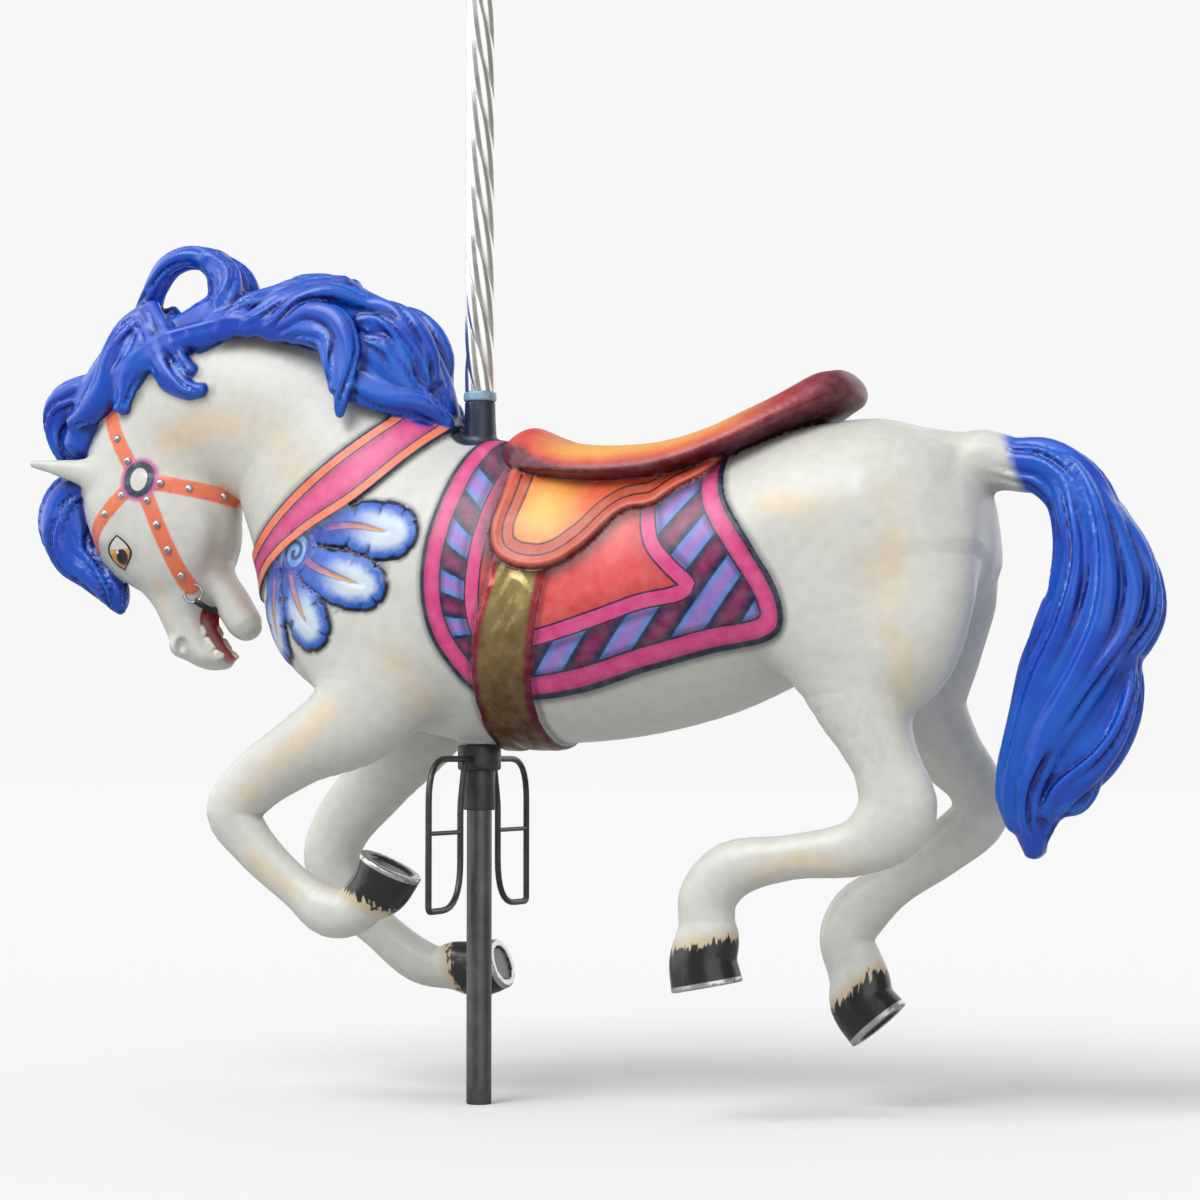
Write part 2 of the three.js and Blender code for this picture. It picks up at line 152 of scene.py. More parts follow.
HIND_NEAR = [
    [566, -74, 690, 134, 74, 144],
    [586, -93, 608, 94, 67, 119],
    [572, -101, 548, 60, 56, 90],
    [582, -110, 495, 38, 45, 62],
    [594, -116, 445, 41, 36, 45],
    [604, -121, 390, 50, 33],
    [560, -124, 350, 36, 27],
    [470, -126, 335, 28, 24],
    [392, -127, 318, 36, 29],
    [362, -127, 285, 37, 30],
    [360, -127, 252, 36, 30],
    [361, -127, 232, 40, 34],
    [355, -127, 204, 43, 38],
    [360, -127, 173, 46, 41],
]
HIND_FAR = [
    [556, 74, 695, 135, 74],
    [562, 92, 610, 100, 66],
    [566, 103, 532, 72, 50, 66],
    [612, 111, 465, 46, 38, 42],
    [646, 116, 420, 38, 33, 34],
    [652, 118, 384, 37, 32],
    [600, 120, 338, 34, 27],
    [540, 121, 296, 30, 24],
    [488, 122, 254, 38, 29],
    [472, 122, 222, 36, 30],
    [484, 122, 184, 38, 30],
    [490, 122, 165, 40, 34],
    [493, 122, 138, 43, 38],
    [515, 122, 110, 45, 41],
]
SEAT = [
    [50, 0, 862, 18, 40, 14],
    [66, 0, 848, 52, 78, 18],
    [96, 0, 838, 50, 108, 17],
    [140, 0, 830, 44, 128, 16],
    [200, 0, 824, 44, 140, 15],
    [285, 0, 828, 44, 142, 15],
    [350, 0, 846, 42, 136, 15],
    [402, 0, 868, 42, 126, 15],
    [450, 0, 893, 40, 108, 16],
    [488, 0, 914, 41, 84, 19],
    [508, 0, 928, 31, 62, 25],
]
MANE_MASS = [
    [-596, 0, 896, 34, 36],
    [-574, 0, 948, 38, 44],
    [-538, 0, 998, 42, 46],
    [-500, 0, 1034, 42, 46],
    [-440, 0, 1044, 32, 44],
    [-378, 0, 1062, 42, 44],
    [-318, 0, 1064, 38, 42],
    [-252, 0, 1064, 52, 44],
    [-185, 0, 1038, 58, 46],
    [-125, 0, 996, 58, 44],
    [-84, 0, 952, 44, 36],
    [-52, 0, 915, 24, 26],
]
HAIR_LOOP = [
    [-506, 0, 1066, 18, 24],
    [-491, 0, 1112, 17, 22],
    [-468, 0, 1143, 17, 22],
    [-432, 0, 1154, 17, 22],
    [-398, 0, 1142, 20, 24],
    [-382, 0, 1106, 24, 27],
    [-376, 0, 1066, 26, 30],
]
BROW_CURL = [
    [-556, 0, 968, 30, 36],
    [-600, 0, 968, 28, 36],
    [-632, 0, 952, 28, 32],
    [-640, 0, 918, 20, 26],
    [-630, 0, 886, 15, 20],
    [-614, 0, 868, 8, 12],
]
FORELOCK = [
    [-592, 0, 846, 24, 28],
    [-622, 0, 824, 34, 32],
    [-628, 0, 785, 42, 36],
    [-612, 0, 742, 36, 34],
    [-580, 0, 718, 30, 30],
    [-556, 0, 696, 25, 28],
    [-545, 0, 674, 15, 18],
    [-541, 0, 662, 6, 8],
]
CREST_LOBES = [
    [[-300, 0, 1082, 20, 30], [-255, 0, 1096, 25, 34], [-205, 0, 1092, 24, 34], [-160, 0, 1066, 20, 30]],
    [[-150, 0, 1050, 20, 40], [-110, 0, 1032, 24, 42], [-86, 0, 998, 20, 38], [-82, 0, 962, 12, 28]],
]
# Locks of the mane's near side; the far side has them mirrored.
MANE_LOCKS = [
    [
        [-492, -22, 1078, 14, 12], [-512, -40, 1050, 19, 14], [-527, -50, 1012, 21, 15],
        [-540, -52, 972, 21, 15], [-568, -48, 940, 18, 14], [-598, -34, 926, 12, 12],
    ],
    [[-478, -30, 1062, 13, 11], [-492, -46, 1023, 17, 13], [-500, -58, 984, 18, 13], [-509, -62, 938, 13, 9]],
    [
        [-500, -28, 1066, 16, 14], [-466, -50, 1024, 18, 15], [-436, -66, 984, 18, 15],
        [-400, -74, 960, 13, 12], [-378, -75, 958, 8, 8],
    ],
    [[-482, -28, 1080, 15, 13], [-450, -48, 1044, 15, 13], [-424, -60, 1010, 13, 12], [-400, -66, 985, 9, 8]],
    [
        [-396, -54, 1024, 10, 8], [-376, -50, 1038, 17, 14], [-362, -36, 1080, 20, 18],
        [-368, -22, 1120, 20, 20], [-400, -10, 1148, 16, 18],
    ],
    [
        [-356, -58, 1036, 9, 7], [-344, -58, 1048, 15, 12], [-326, -46, 1072, 17, 14],
        [-294, -28, 1088, 16, 14], [-258, -14, 1102, 12, 12],
    ],
    [
        [-322, -59, 1038, 9, 7], [-301, -62, 1052, 15, 12], [-270, -50, 1078, 17, 14],
        [-236, -32, 1096, 16, 14], [-192, -16, 1102, 12, 12],
    ],
    [
        [-292, -60, 1034, 9, 7], [-266, -66, 1050, 15, 12], [-236, -58, 1077, 17, 13],
        [-198, -46, 1085, 17, 14], [-160, -32, 1072, 15, 13], [-130, -18, 1050, 10, 10],
    ],
    [
        [-282, -58, 1030, 9, 7], [-252, -66, 1038, 18, 12], [-216, -70, 1053, 22, 14],
        [-181, -74, 1042, 22, 15], [-162, -80, 1010, 20, 15], [-160, -87, 970, 17, 14],
        [-163, -92, 930, 12, 11], [-164, -93, 914, 6, 6],
    ],
    [
        [-250, -62, 1026, 8, 6], [-222, -73, 1028, 13, 9], [-196, -78, 1020, 13, 10],
        [-184, -84, 988, 12, 10], [-173, -89, 950, 9, 9],
    ],
    [
        [-178, -26, 1066, 14, 12], [-134, -30, 1060, 20, 16], [-92, -32, 1036, 22, 17],
        [-68, -28, 1000, 19, 16], [-60, -22, 964, 12, 11],
    ],
    [
        [-156, -50, 1042, 13, 10], [-118, -50, 1034, 17, 13], [-88, -45, 1008, 17, 13],
        [-72, -38, 978, 14, 12], [-65, -32, 954, 9, 9],
    ],
    [[-152, -62, 1014, 12, 9], [-116, -61, 1006, 15, 11], [-93, -55, 984, 14, 11], [-82, -48, 958, 10, 9]],
    [
        [-186, -72, 984, 12, 11], [-148, -76, 952, 21, 15], [-104, -64, 936, 21, 17], [-64, -44, 926, 20, 17],
        [-38, -26, 904, 14, 13],
    ],
]
HAIRLINE = [
    [-566, -46, 934, 14, 12], [-524, -53, 968, 17, 12], [-486, -57, 1000, 19, 12], [-440, -58, 1026, 19, 12],
    [-387, -56, 1040, 18, 12],
    [-336, -56, 1050, 18, 12], [-286, -58, 1046, 18, 12], [-229, -61, 1034, 20, 12],
    [-186, -64, 1018, 24, 12], [-144, -62, 992, 24, 13],
    [-108, -58, 962, 22, 13], [-66, -40, 930, 16, 12],
]
TAIL_MASS = [
    [688, 0, 838, 30, 28],
    [728, 0, 828, 34, 32],
    [768, 0, 822, 38, 36],
    [806, 0, 790, 42, 42],
    [824, 0, 735, 48, 48],
    [832, 0, 672, 62, 54],
    [822, 0, 610, 68, 56],
    [802, 0, 545, 70, 56],
    [784, 0, 482, 66, 52],
    [762, 0, 425, 44, 40],
    [750, 0, 378, 28, 28],
    [748, 0, 340, 12, 13],
]
TAIL_LOBES = [
    [
        [824, 0, 786, 16, 28], [850, 0, 732, 24, 38], [876, 0, 680, 28, 40], [886, 0, 640, 22, 34],
        [872, 0, 602, 10, 20],
    ],
    [
        [776, 4, 650, 14, 34], [752, 6, 565, 24, 40], [730, 6, 482, 24, 38], [718, 4, 422, 18, 30],
        [724, 0, 376, 11, 18],
    ],
]
TAIL_LOCKS = [
    [
        [738, -4, 824, 8, 8], [786, -20, 810, 14, 14], [806, -34, 759, 18, 18], [814, -40, 700, 20, 20],
        [799, -44, 623, 24, 22], [762, -38, 547, 24, 22], [738, -32, 476, 22, 20], [721, -22, 410, 16, 16],
        [728, -10, 372, 9, 10],
    ],
    [
        [745, -2, 832, 8, 8], [800, -15, 826, 15, 16], [834, -28, 776, 20, 20], [849, -38, 699, 22, 20],
        [842, -46, 634, 24, 20], [811, -46, 564, 25, 22], [771, -40, 493, 25, 22], [744, -32, 429, 22, 20],
        [742, -22, 380, 17, 16], [754, -8, 342, 9, 10],
    ],
    [
        [820, -8, 812, 9, 11], [850, -18, 764, 16, 18], [866, -24, 710, 19, 20], [876, -30, 669, 20, 20],
        [868, -38, 622, 21, 20], [840, -44, 570, 22, 20], [812, -44, 523, 21, 18], [784, -40, 476, 15, 14],
    ],
    [
        [855, -8, 764, 12, 14], [880, -10, 722, 15, 18], [896, -12, 681, 15, 20], [898, -16, 639, 17, 20],
        [884, -22, 608, 17, 18], [862, -30, 581, 16, 16], [832, -38, 546, 11, 12],
    ],
    [
        [866, -14, 599, 14, 16], [868, -20, 546, 18, 18], [858, -26, 499, 19, 20], [830, -30, 452, 20, 20],
        [793, -28, 417, 18, 18], [768, -20, 390, 11, 12],
    ],
    [[822, -12, 446, 11, 12], [816, -16, 420, 13, 14], [802, -16, 400, 12, 13], [776, -12, 389, 8, 9]],
]
# Petals of the chest flower, seen from the side: x, z, half width.
PETALS = [
    [[-180, 760, 22], [-124, 763, 32], [-82, 755, 40], [-60, 751, 36]],
    [[-204, 726, 22], [-165, 705, 30], [-122, 690, 38], [-98, 682, 33]],
    [[-224, 714, 20], [-209, 684, 30], [-190, 648, 37], [-177, 629, 32]],
    [[-252, 712, 16], [-254, 690, 23], [-258, 644, 33], [-258, 612, 28]],
]
FLOWER_HEART = (-214, 730)

# Where the mane is painted down onto the neck, seen from the side: x, z.
HAIR_PAINT = [
    [-590, 1180], [-590, 950], [-545, 915], [-514, 917], [-481, 962], [-445, 993], [-387, 1017], [-336, 1028],
    [-286, 1025],
    [-229, 1011], [-194, 1005], [-144, 974], [-127, 941], [-89, 914], [-48, 900], [-48, 1180],
]
# Airbrushed tan along hollows and joints: spread, then x, y, z along it; both sides.
AIRBRUSH = [
    (26, [[-433, 61, 893], [-370, 72, 912], [-304, 78, 908], [-222, 92, 843]]),
    (20, [[-57, 150, 598], [-33, 123, 534]]),
    (19, [[452, 154, 778], [520, 152, 764]]),
    (20, [[601, 136, 786], [606, 144, 710], [604, 150, 640]]),
    (18, [[-150, 155, 520], [-187, 161, 482], [-262, 156, 416]]),
    (17, [[578, 146, 702], [617, 151, 603], [621, 143, 480]]),
    (13, [[430, 140, 318], [488, 148, 333], [560, 133, 321]]),
    (12, [[-262, 150, 330], [-205, 150, 282]]),
    (12, [[560, 140, 300], [520, 140, 262]]),
    (12, [[-455, 60, 690], [-440, 55, 640]]),
]

# Outlines of what is carried on the body, seen from the side, in millimetres: x, z.
BLANKET = [
    [40, 930], [14, 860], [0, 797], [-14, 726], [-16, 675], [-6, 620], [17, 577], [44, 545], [90, 532],
    [190, 540], [286, 567], [375, 590], [455, 607], [470, 624], [466, 662], [430, 727], [390, 790],
    [378, 840], [378, 930],
]
PANEL = [
    [84, 900], [72, 830], [60, 770], [50, 703], [50, 640], [66, 600], [98, 592], [146, 600], [206, 616],
    [286, 642], [352, 658], [362, 678], [336, 704], [312, 732], [300, 776], [300, 900],
]
FLAP = [
    [98, 900], [84, 795], [78, 752], [86, 722], [110, 703], [150, 696], [182, 704], [218, 729], [258, 770],
    [296, 777], [320, 796], [364, 828], [372, 900],
]
GIRTH = [
    [94, 760], [84, 690], [58, 608], [46, 541], [42, 487], [44, 440], [118, 440], [124, 505], [131, 554],
    [146, 622], [160, 690], [166, 760],
]
COLLAR_BAND = [
    [-40, 975], [-104, 915], [-195, 842], [-290, 760], [-400, 655], [-380, 605], [-272, 708], [-200, 754],
    [-126, 797], [-66, 852], [-20, 905], [0, 960],
]
# Bridle straps, seen from the side.
STRAPS = [
    [[-566, 990], [-536, 940], [-520, 909], [-497, 872], [-473, 839]],
    [[-473, 839], [-512, 806], [-545, 778], [-566, 752]],
    [[-473, 839], [-448, 790], [-426, 738], [-408, 692]],
    [[-473, 839], [-420, 829], [-372, 818], [-314, 795], [-280, 786]],
]
ROSETTE = (-473, 839)
EYE = (-508, 741)
BIT_RING = (-405, 684)

# The boss round the pole: height and radius.
BOSS_SHAPE = [
    (0.47, 0.020), (0.476, 0.025), (0.49, 0.033), (0.86, 0.030), (0.886, 0.0225), (0.91, 0.021),
    (0.935, 0.0205),
]
BOSS_LOW, BOSS_HIGH = 0.476, 0.935

# Lower and upper edge of the saddle seat's shading: x and height.
SEAT_LOW = [
    (0.05, 0.862), (0.10, 0.853), (0.12, 0.834), (0.16, 0.822), (0.21, 0.815), (0.27, 0.815), (0.33, 0.824),
    (0.40, 0.845), (0.44, 0.863), (0.48, 0.880), (0.53, 0.892),
]
SEAT_HIGH = [
    (0.05, 0.885), (0.061, 0.901), (0.086, 0.896), (0.122, 0.880), (0.164, 0.870), (0.22, 0.867),
    (0.283, 0.878), (0.338, 0.899), (0.392, 0.923), (0.446, 0.941), (0.50, 0.959), (0.52, 0.955),
]

# The footrest's loops, in millimetres: distance from the pole and height of each corner, how far
# each bend reaches, and the radii of bar and rung.
LOOP_CORNERS = [(24.9, 457), (172, 457), (172, 261), (66, 261), (66, 397), (50.9, 455)]
LOOP_BENDS = [0, 56, 8, 62, 14, 0]
LOOP_BAR, RUNG_BAR, RUNG_HEIGHT = 4.2, 3, 361

# Lights seen in the metal: direction, edge, softness and power.
SOFTBOXES = [
    ((-0.95, -0.10, 0.30), 0.72, 0.05, 1.5),
    ((0.62, -0.76, 0.20), 0.90, 0.03, 1.3),
    ((0.35, 0.90, 0.25), 0.84, 0.04, 1.0),
    ((0.0, -0.35, 0.94), 0.86, 0.06, 1.4),
]
# The sun and the camera, which stands a little to the rear and looks slightly up.
SUN_AIM = (0.28, 0.69, -0.80)
CAMERA_PLACE = (1.5876, -3.8917, 0.4595)
CAMERA_TURN, CAMERA_TIP = math.radians(20), math.radians(2.85877)
LENS, SENSOR = 94.32, 36


def far(n):
    return np.full(n, FAR, np.float32)


def curve(x, points):
    return np.interp(x, *zip(*points))


# ---- measuring forms ----
def spline(points, per):
    """Points along the smooth curve that passes through the given ones."""
    p = np.asarray(points, float)
    run = np.vstack([2 * p[0] - p[1], p, 2 * p[-1] - p[-2]])
    out = []
    for i in range(len(p) - 1):
        a, b, c, d = run[i : i + 4]
        s = [max(float(np.linalg.norm(q)), 1e-9) ** 0.5 for q in (b - a, c - b, d - c)]
        start = ((b - a) / s[0] - (c - a) / (s[0] + s[1]) + (c - b) / s[1]) * s[1]
        end = ((c - b) / s[1] - (d - b) / (s[1] + s[2]) + (d - c) / s[2]) * s[1]
        for k in range(per):
            t = k / per
            bend = (3 * (c - b) - 2 * start - end) * t * t
            out.append(b + start * t + bend + (2 * (b - c) + start + end) * t**3)
    out.append(p[-1])
    return np.array(out)


def mirrored(stations):
    return [[x, -y, z, *rest] for x, y, z, *rest in stations]


def smooth(x):
    x = np.clip(x, 0, 1)
    return x * x * (3 - 2 * x)


def blend(a, b, k):
    """The smaller of two distances, with a fillet of size k where they meet."""
    h = np.clip(k - np.abs(a - b), 0, None)
    return np.minimum(a, b) - h * h / (4 * k)


class Limb:
    """A tapering rounded form along a smooth spine."""

    def __init__(
        self, stations, fillet=20, per=5, dome=0.7, flat=False, ridges=0, depth=0.0, twist=0.0, seed=0,
    ):
        rows = np.array([[*s, s[3]] if len(s) == 5 else s for s in stations], float) * MM
        c = spline(rows[:, :3], per)
        s = np.maximum(spline(rows[:, 3:], per), 1 * MM)
        self.a, self.ab = c[:-1], c[1:] - c[:-1]
        length = np.linalg.norm(self.ab, axis=1)
        along = self.ab / length[:, None]
        side = np.array([0.0, 1.0, 0.0]) - along * along[:, 1:2]
        side /= np.linalg.norm(side, axis=1)[:, None]
        self.frame = np.stack([np.cross(along, side), side, along], 1)
        self.s0, self.s1 = s[:-1], s[1:]
        self.length = length
        self.arc = np.concatenate([[0], np.cumsum(length)[:-1]])
        self.total = float(length.sum())
        self.dome, self.fillet, self.flat = dome, fillet * MM, flat
        self.ridges, self.depth, self.twist, self.seed = ridges, depth * MM, twist, seed
        self.reach = s.max(1)
        self.reach = np.maximum(self.reach[:-1], self.reach[1:])
        self.end = c[-1]
        self.low, self.high = c.min(0) - s.max(), c.max(0) + s.max()
        first, last = self.dome * np.minimum(s[[0, -1], 0], s[[0, -1], 1])
        self.cap0 = np.minimum(s[:-1, 0], 0.6 * self.arc + first)
        self.cap1 = np.minimum(s[1:, 0], 0.6 * (self.total - self.arc - length) + last)
        for name in ("a", "ab", "frame", "s0", "s1", "arc", "length", "cap0", "cap1"):
            setattr(self, name, getattr(self, name).astype(np.float32))

    def near(self, middle, radius):
        """Which stretches come close to a ball."""
        reach = radius + 0.042
        if np.any(middle < self.low - reach) or np.any(middle > self.high + reach):
            return NONE
        w = middle - self.a
        t = np.clip((w * self.ab).sum(1) / self.length**2, 0, 1)
        gap = np.sqrt(((w - t[:, None] * self.ab) ** 2).sum(1)) - self.reach - self.length * 0.1
        return np.nonzero(gap < reach)[0]

    def measure(self, p, pick, detail=False):
        """Signed distance from points to the form, and where along and around it they lie."""
        a, ab, fr = self.a[pick], self.ab[pick], self.frame[pick]
        l2 = (ab * ab).sum(1)[:, None]
        base = (a * ab).sum(1)[:, None]
        t = np.clip((ab @ p.T - base) / l2, 0, 1)
        off = np.einsum("sij,sj->si", fr, a)[:, :, None]
        local = np.matmul(fr, p.T) - off
        local[:, 2] -= t * np.sqrt(l2)
        u, v, w = local[:, 0], local[:, 1], local[:, 2]
        size = self.s0[pick][:, :, None] + t[:, None, :] * (self.s1[pick] - self.s0[pick])[:, :, None]
        high = np.where(u > 0, size[:, 0], size[:, 2])
        wide = size[:, 1]
        cap = np.where(w > 0, self.cap1[pick][:, None], self.cap0[pick][:, None])
        k = np.sqrt((u / high) ** 2 + (v / wide) ** 2 + (w / cap) ** 2) + 1e-6
        r = np.sqrt(u * u + v * v + w * w)
        d = r - r / k
        best = d.argmin(0)
        ids = np.arange(len(p))
        out = d[best, ids]
        if self.ridges or detail:
            ub, vb, kb = u[best, ids], v[best, ids], k[best, ids]
            hb, wb = high[best, ids], wide[best, ids]
            angle = np.arctan2(vb / wb, ub / hb)
            arc = self.arc[pick][best] + t[best, ids] * self.length[pick][best]
            if self.ridges:
                out = out + self.depth * self.groove(angle, arc)
            if detail:
                return out, angle, arc, kb
        return out

    def groove(self, angle, arc):
        """Depth from 0 on the crown of a lock to 1 in the cut beside it."""
        x = arc / self.total
        turn = self.twist * x + 0.05 * np.sin(4.2 * x + self.seed) + 0.02 * np.sin(11 * x + 2.3 * self.seed)
        phase = self.ridges * (angle / (2 * np.pi) + turn)
        phase = phase + 0.2 * np.sin(np.pi * phase + 5 * x + self.seed)
        cut = (0.5 + 0.5 * np.cos(2 * np.pi * phase)) ** 1.6
        return cut * (0.08 + 0.92 * smooth(x / 0.14) * smooth((1 - x) / 0.10))


class Outline:
    """A closed smooth outline seen from the side, with its inside distance ready on a grid."""

    STEP = 2.5 * MM

    def __init__(self, points, low=(-0.42, 0.42), high=(0.52, 1.02), per=6):
        loop = np.array(points, float) * MM
        run = spline(np.vstack([loop[-1:], loop, loop[:2]]), per)[per:-per]
        self.run = run
        self.low = np.array(low)
        n = ((np.array(high) - self.low) / self.STEP).astype(int) + 2
        xs = self.low[0] + np.arange(n[0]) * self.STEP
        zs = self.low[1] + np.arange(n[1]) * self.STEP
        grid = np.stack(np.meshgrid(xs, zs, indexing="ij"), -1).reshape(-1, 2)
        self.table = self.inside(grid).reshape(n).astype(np.float32)

    def inside(self, p, with_place=False):
        """Distance inside the outline, positive within it, and the place along it if asked for."""
        a, b = self.run[:-1], self.run[1:]
        ab = b - a
        length = np.linalg.norm(ab, axis=1)
        arc = np.concatenate([[0], np.cumsum(length)[:-1]])
        out = np.empty(len(p))
        place = np.empty(len(p))
        for i in range(0, len(p), 20000):
            q = p[i : i + 20000, None, :]
            t = np.clip(((q - a) * ab).sum(-1) / (length**2), 0, 1)
            gap = np.linalg.norm(q - a - t[..., None] * ab, axis=-1)
            best = gap.argmin(1)
            ids = np.arange(len(best))
            cross = (a[:, 1] > q[..., 1]) != (b[:, 1] > q[..., 1])
            at = a[:, 0] + (q[..., 1] - a[:, 1]) / np.where(ab[:, 1] == 0, 1e-12, ab[:, 1]) * ab[:, 0]
            odd = (cross & (q[..., 0] < at)).sum(1) % 2
            out[i : i + 20000] = np.where(odd == 1, 1, -1) * gap[ids, best]
            if with_place:
                place[i : i + 20000] = arc[best] + t[ids, best] * length[best]
        return (out, place) if with_place else out

    def at(self, x, z):
        i = np.clip((x - self.low[0]) / self.STEP, 0, self.table.shape[0] - 1.001)
        j = np.clip((z - self.low[1]) / self.STEP, 0, self.table.shape[1] - 1.001)
        i0, j0 = i.astype(int), j.astype(int)
        fi, fj = i - i0, j - j0
        t = self.table
        low = t[i0, j0] * (1 - fi) + t[i0 + 1, j0] * fi
        high = t[i0, j0 + 1] * (1 - fi) + t[i0 + 1, j0 + 1] * fi
        return low * (1 - fj) + high * fj


TRUNK = [Limb(TORSO, 30, dome=0.5), Limb(NECK, 18)]
LEGS = [Limb(leg, 34, dome=1.5, flat=True) for leg in (FORE_NEAR, FORE_FAR, HIND_NEAR, HIND_FAR)]
FACE = [Limb(HEAD, 20), Limb(JAW, 14), Limb(EAR, 12), Limb(mirrored(EAR), 12)]
HAIR = [
    Limb(MANE_MASS, 8, ridges=12, depth=3.0, seed=1),
    Limb(HAIR_LOOP, 8, ridges=6, depth=3.6, twist=0.4, seed=2),
    Limb(BROW_CURL, 8, ridges=8, depth=4.5, twist=0.2, seed=3),
    Limb(FORELOCK, 8, ridges=8, depth=5.0, twist=0.15, seed=4),
    *[Limb(s, 9, ridges=6, depth=4.5, twist=0.3, seed=5 + i) for i, s in enumerate(CREST_LOBES)],
    *[
        Limb(side(s), 7, per=4, ridges=4, depth=4.4, twist=0.2, seed=7 + i)
        for i, s in enumerate(MANE_LOCKS)
        for side in (list, mirrored)
    ],
    *[Limb(side(HAIRLINE), 10, ridges=4, depth=2.0, seed=6) for side in (list, mirrored)],
    Limb(TAIL_MASS, 8, ridges=10, depth=6.0, twist=0.15, seed=11),
    *[Limb(s, 9, ridges=6, depth=6.5, twist=0.2, seed=12 + i) for i, s in enumerate(TAIL_LOBES)],
    *[
        Limb(side(s), 8, per=4, ridges=4, depth=7.0, twist=0.15, seed=20 + i)
        for i, s in enumerate(TAIL_LOCKS)
        for side in (list, mirrored)
    ],
]
SEAT_LIMB = Limb(SEAT, 4, dome=0.75)
PETAL_LIMBS = [Limb([[x, 0, z, w, w] for x, z, w in petal], 3, per=4, dome=1.0) for petal in PETALS]
PALATE = Limb(
    [[-402, 0, 668, 12, 24], [-388, 0, 637, 18, 31], [-371, 0, 612, 17, 30], [-349, 0, 596, 12, 22]], 1,
)
TEETH = [(t, s) for t in np.linspace(0.30, 0.92, 7) for s in (-1, 1)]
OUTLINES = {
    name: Outline(points)
    for name, points in (
        ("blanket", BLANKET), ("panel", PANEL), ("flap", FLAP), ("girth", GIRTH), ("collar", COLLAR_BAND),
    )
}

HAIR_EDGE = Outline(HAIR_PAINT)

# Muscles and bony points: centre, radii, fillet, all mirrored.
FACE_SWELLS = [
    ([-444, 48, 762], [62, 28, 66], 20),
    ([-430, 28, 612], [17, 19, 16], 10),
    ([-520, 46, 762], [22, 16, 14], 14),
]
BODY_SWELLS = [
    ([-150, 104, 640], [70, 44, 84], 40),
    ([500, 96, 640], [70, 62, 90], 50),
    ([652, 0, 838], [78, 32, 33], 26),
]
NOSTRIL = ([-424, 44, 612], [7, 8, 10])
EYEBALL = [-510, 50, 741]
STRAP_RUNS = [spline(np.array(line, float) * MM, 5) for line in STRAPS]


def strap_width(x, z):
    """Distance inside the bridle's straps, in millimetres."""
    flat = np.stack([x, z], 1)
    best = np.full(len(flat), 1.0)
    for run in STRAP_RUNS:
        a, ab = run[:-1], np.diff(run, axis=0)
        t = np.clip(((flat[:, None] - a) * ab).sum(-1) / (ab * ab).sum(1), 0, 1)
        gap = np.sqrt(((flat[:, None] - a - t[..., None] * ab) ** 2).sum(-1)).min(1)
        best = np.minimum(best, gap)
    return 11 - best / MM


def ellipsoid(p, middle, radii):
    q = (p - np.array(middle) * MM) / (np.array(radii) * MM)
    k = np.sqrt((q * q).sum(1)) + 1e-6
    return np.sqrt(((q * np.array(radii) * MM) ** 2).sum(1)) * (1 - 1 / k)


def hoof_cut(limb, p, d):
    """Cuts a leg off flat at the sole, hollowed inside the shoe."""
    axis = limb.frame[-1]
    q = p - limb.end
    ahead = q @ axis[2] - 2 * MM
    rho = np.sqrt((q @ axis[0] / limb.s1[-1][0]) ** 2 + (q @ axis[1] / limb.s1[-1][1]) ** 2)
    ahead = ahead + 4 * MM * smooth((SOLE_RIM - rho) / 0.08)
    near = np.linalg.norm(q, axis=1) < 0.09
    return np.where(near, np.maximum(d, ahead), d)


def joined(limbs, p, middle, radius, d=None):
    """Fillets limbs one after another into a distance."""
    d = far(len(p)) if d is None else d
    for limb in limbs:
        pick = limb.near(middle, radius)
        if len(pick):
            one = limb.measure(p, pick)
            if limb.flat:
                one = hoof_cut(limb, p, one)
            d = blend(d, one, limb.fillet)
    return d


def swollen(d, swells, mirror, middle, radius):
    for centre, radii, fillet in swells:
        gap = np.linalg.norm(np.array([middle[0], abs(middle[1]), middle[2]]) - np.array(centre) * MM)
        if gap < radius + max(radii) * MM + 0.05:
            d = blend(d, ellipsoid(mirror, centre, radii), fillet * MM)
    return d


def petal_relief(flat, middle):
    """The flower's petals seen from the side: distance, place along and across, and nearness to a notch."""
    n = len(flat)
    best, along, across, notch = far(n), np.zeros(n), np.zeros(n), np.full(n, 0.5)
    if not (-0.40 < middle[0] < 0.10 and 0.45 < middle[2] < 0.90):
        return best, along, across, notch
    for limb in PETAL_LIMBS:
        d, angle, arc, k = limb.measure(flat, np.arange(len(limb.a)), detail=True)
        off = flat - limb.end
        ahead = off @ limb.frame[-1][2]
        bearing = np.abs(np.arctan2(off @ limb.frame[-1][0], ahead))
        lobe = 3.3 * arc / limb.total + 1.9 * np.clip(1 - bearing / (np.pi / 2), 0, 1)
        d = d + 3.2 * MM * np.exp(-(((lobe % 1.0 - 0.5) / 0.09) ** 2)) * (arc > 0.25 * limb.total)
        mine = (d < best) & (best > 0)
        along = np.where(mine, arc / limb.total, along)
        across = np.where(mine, np.cos(angle) * k, across)
        notch = np.where(mine, np.abs(lobe % 1.0 - 0.5), notch)
        best = np.where(mine, d, best)
    return best, along, across, notch


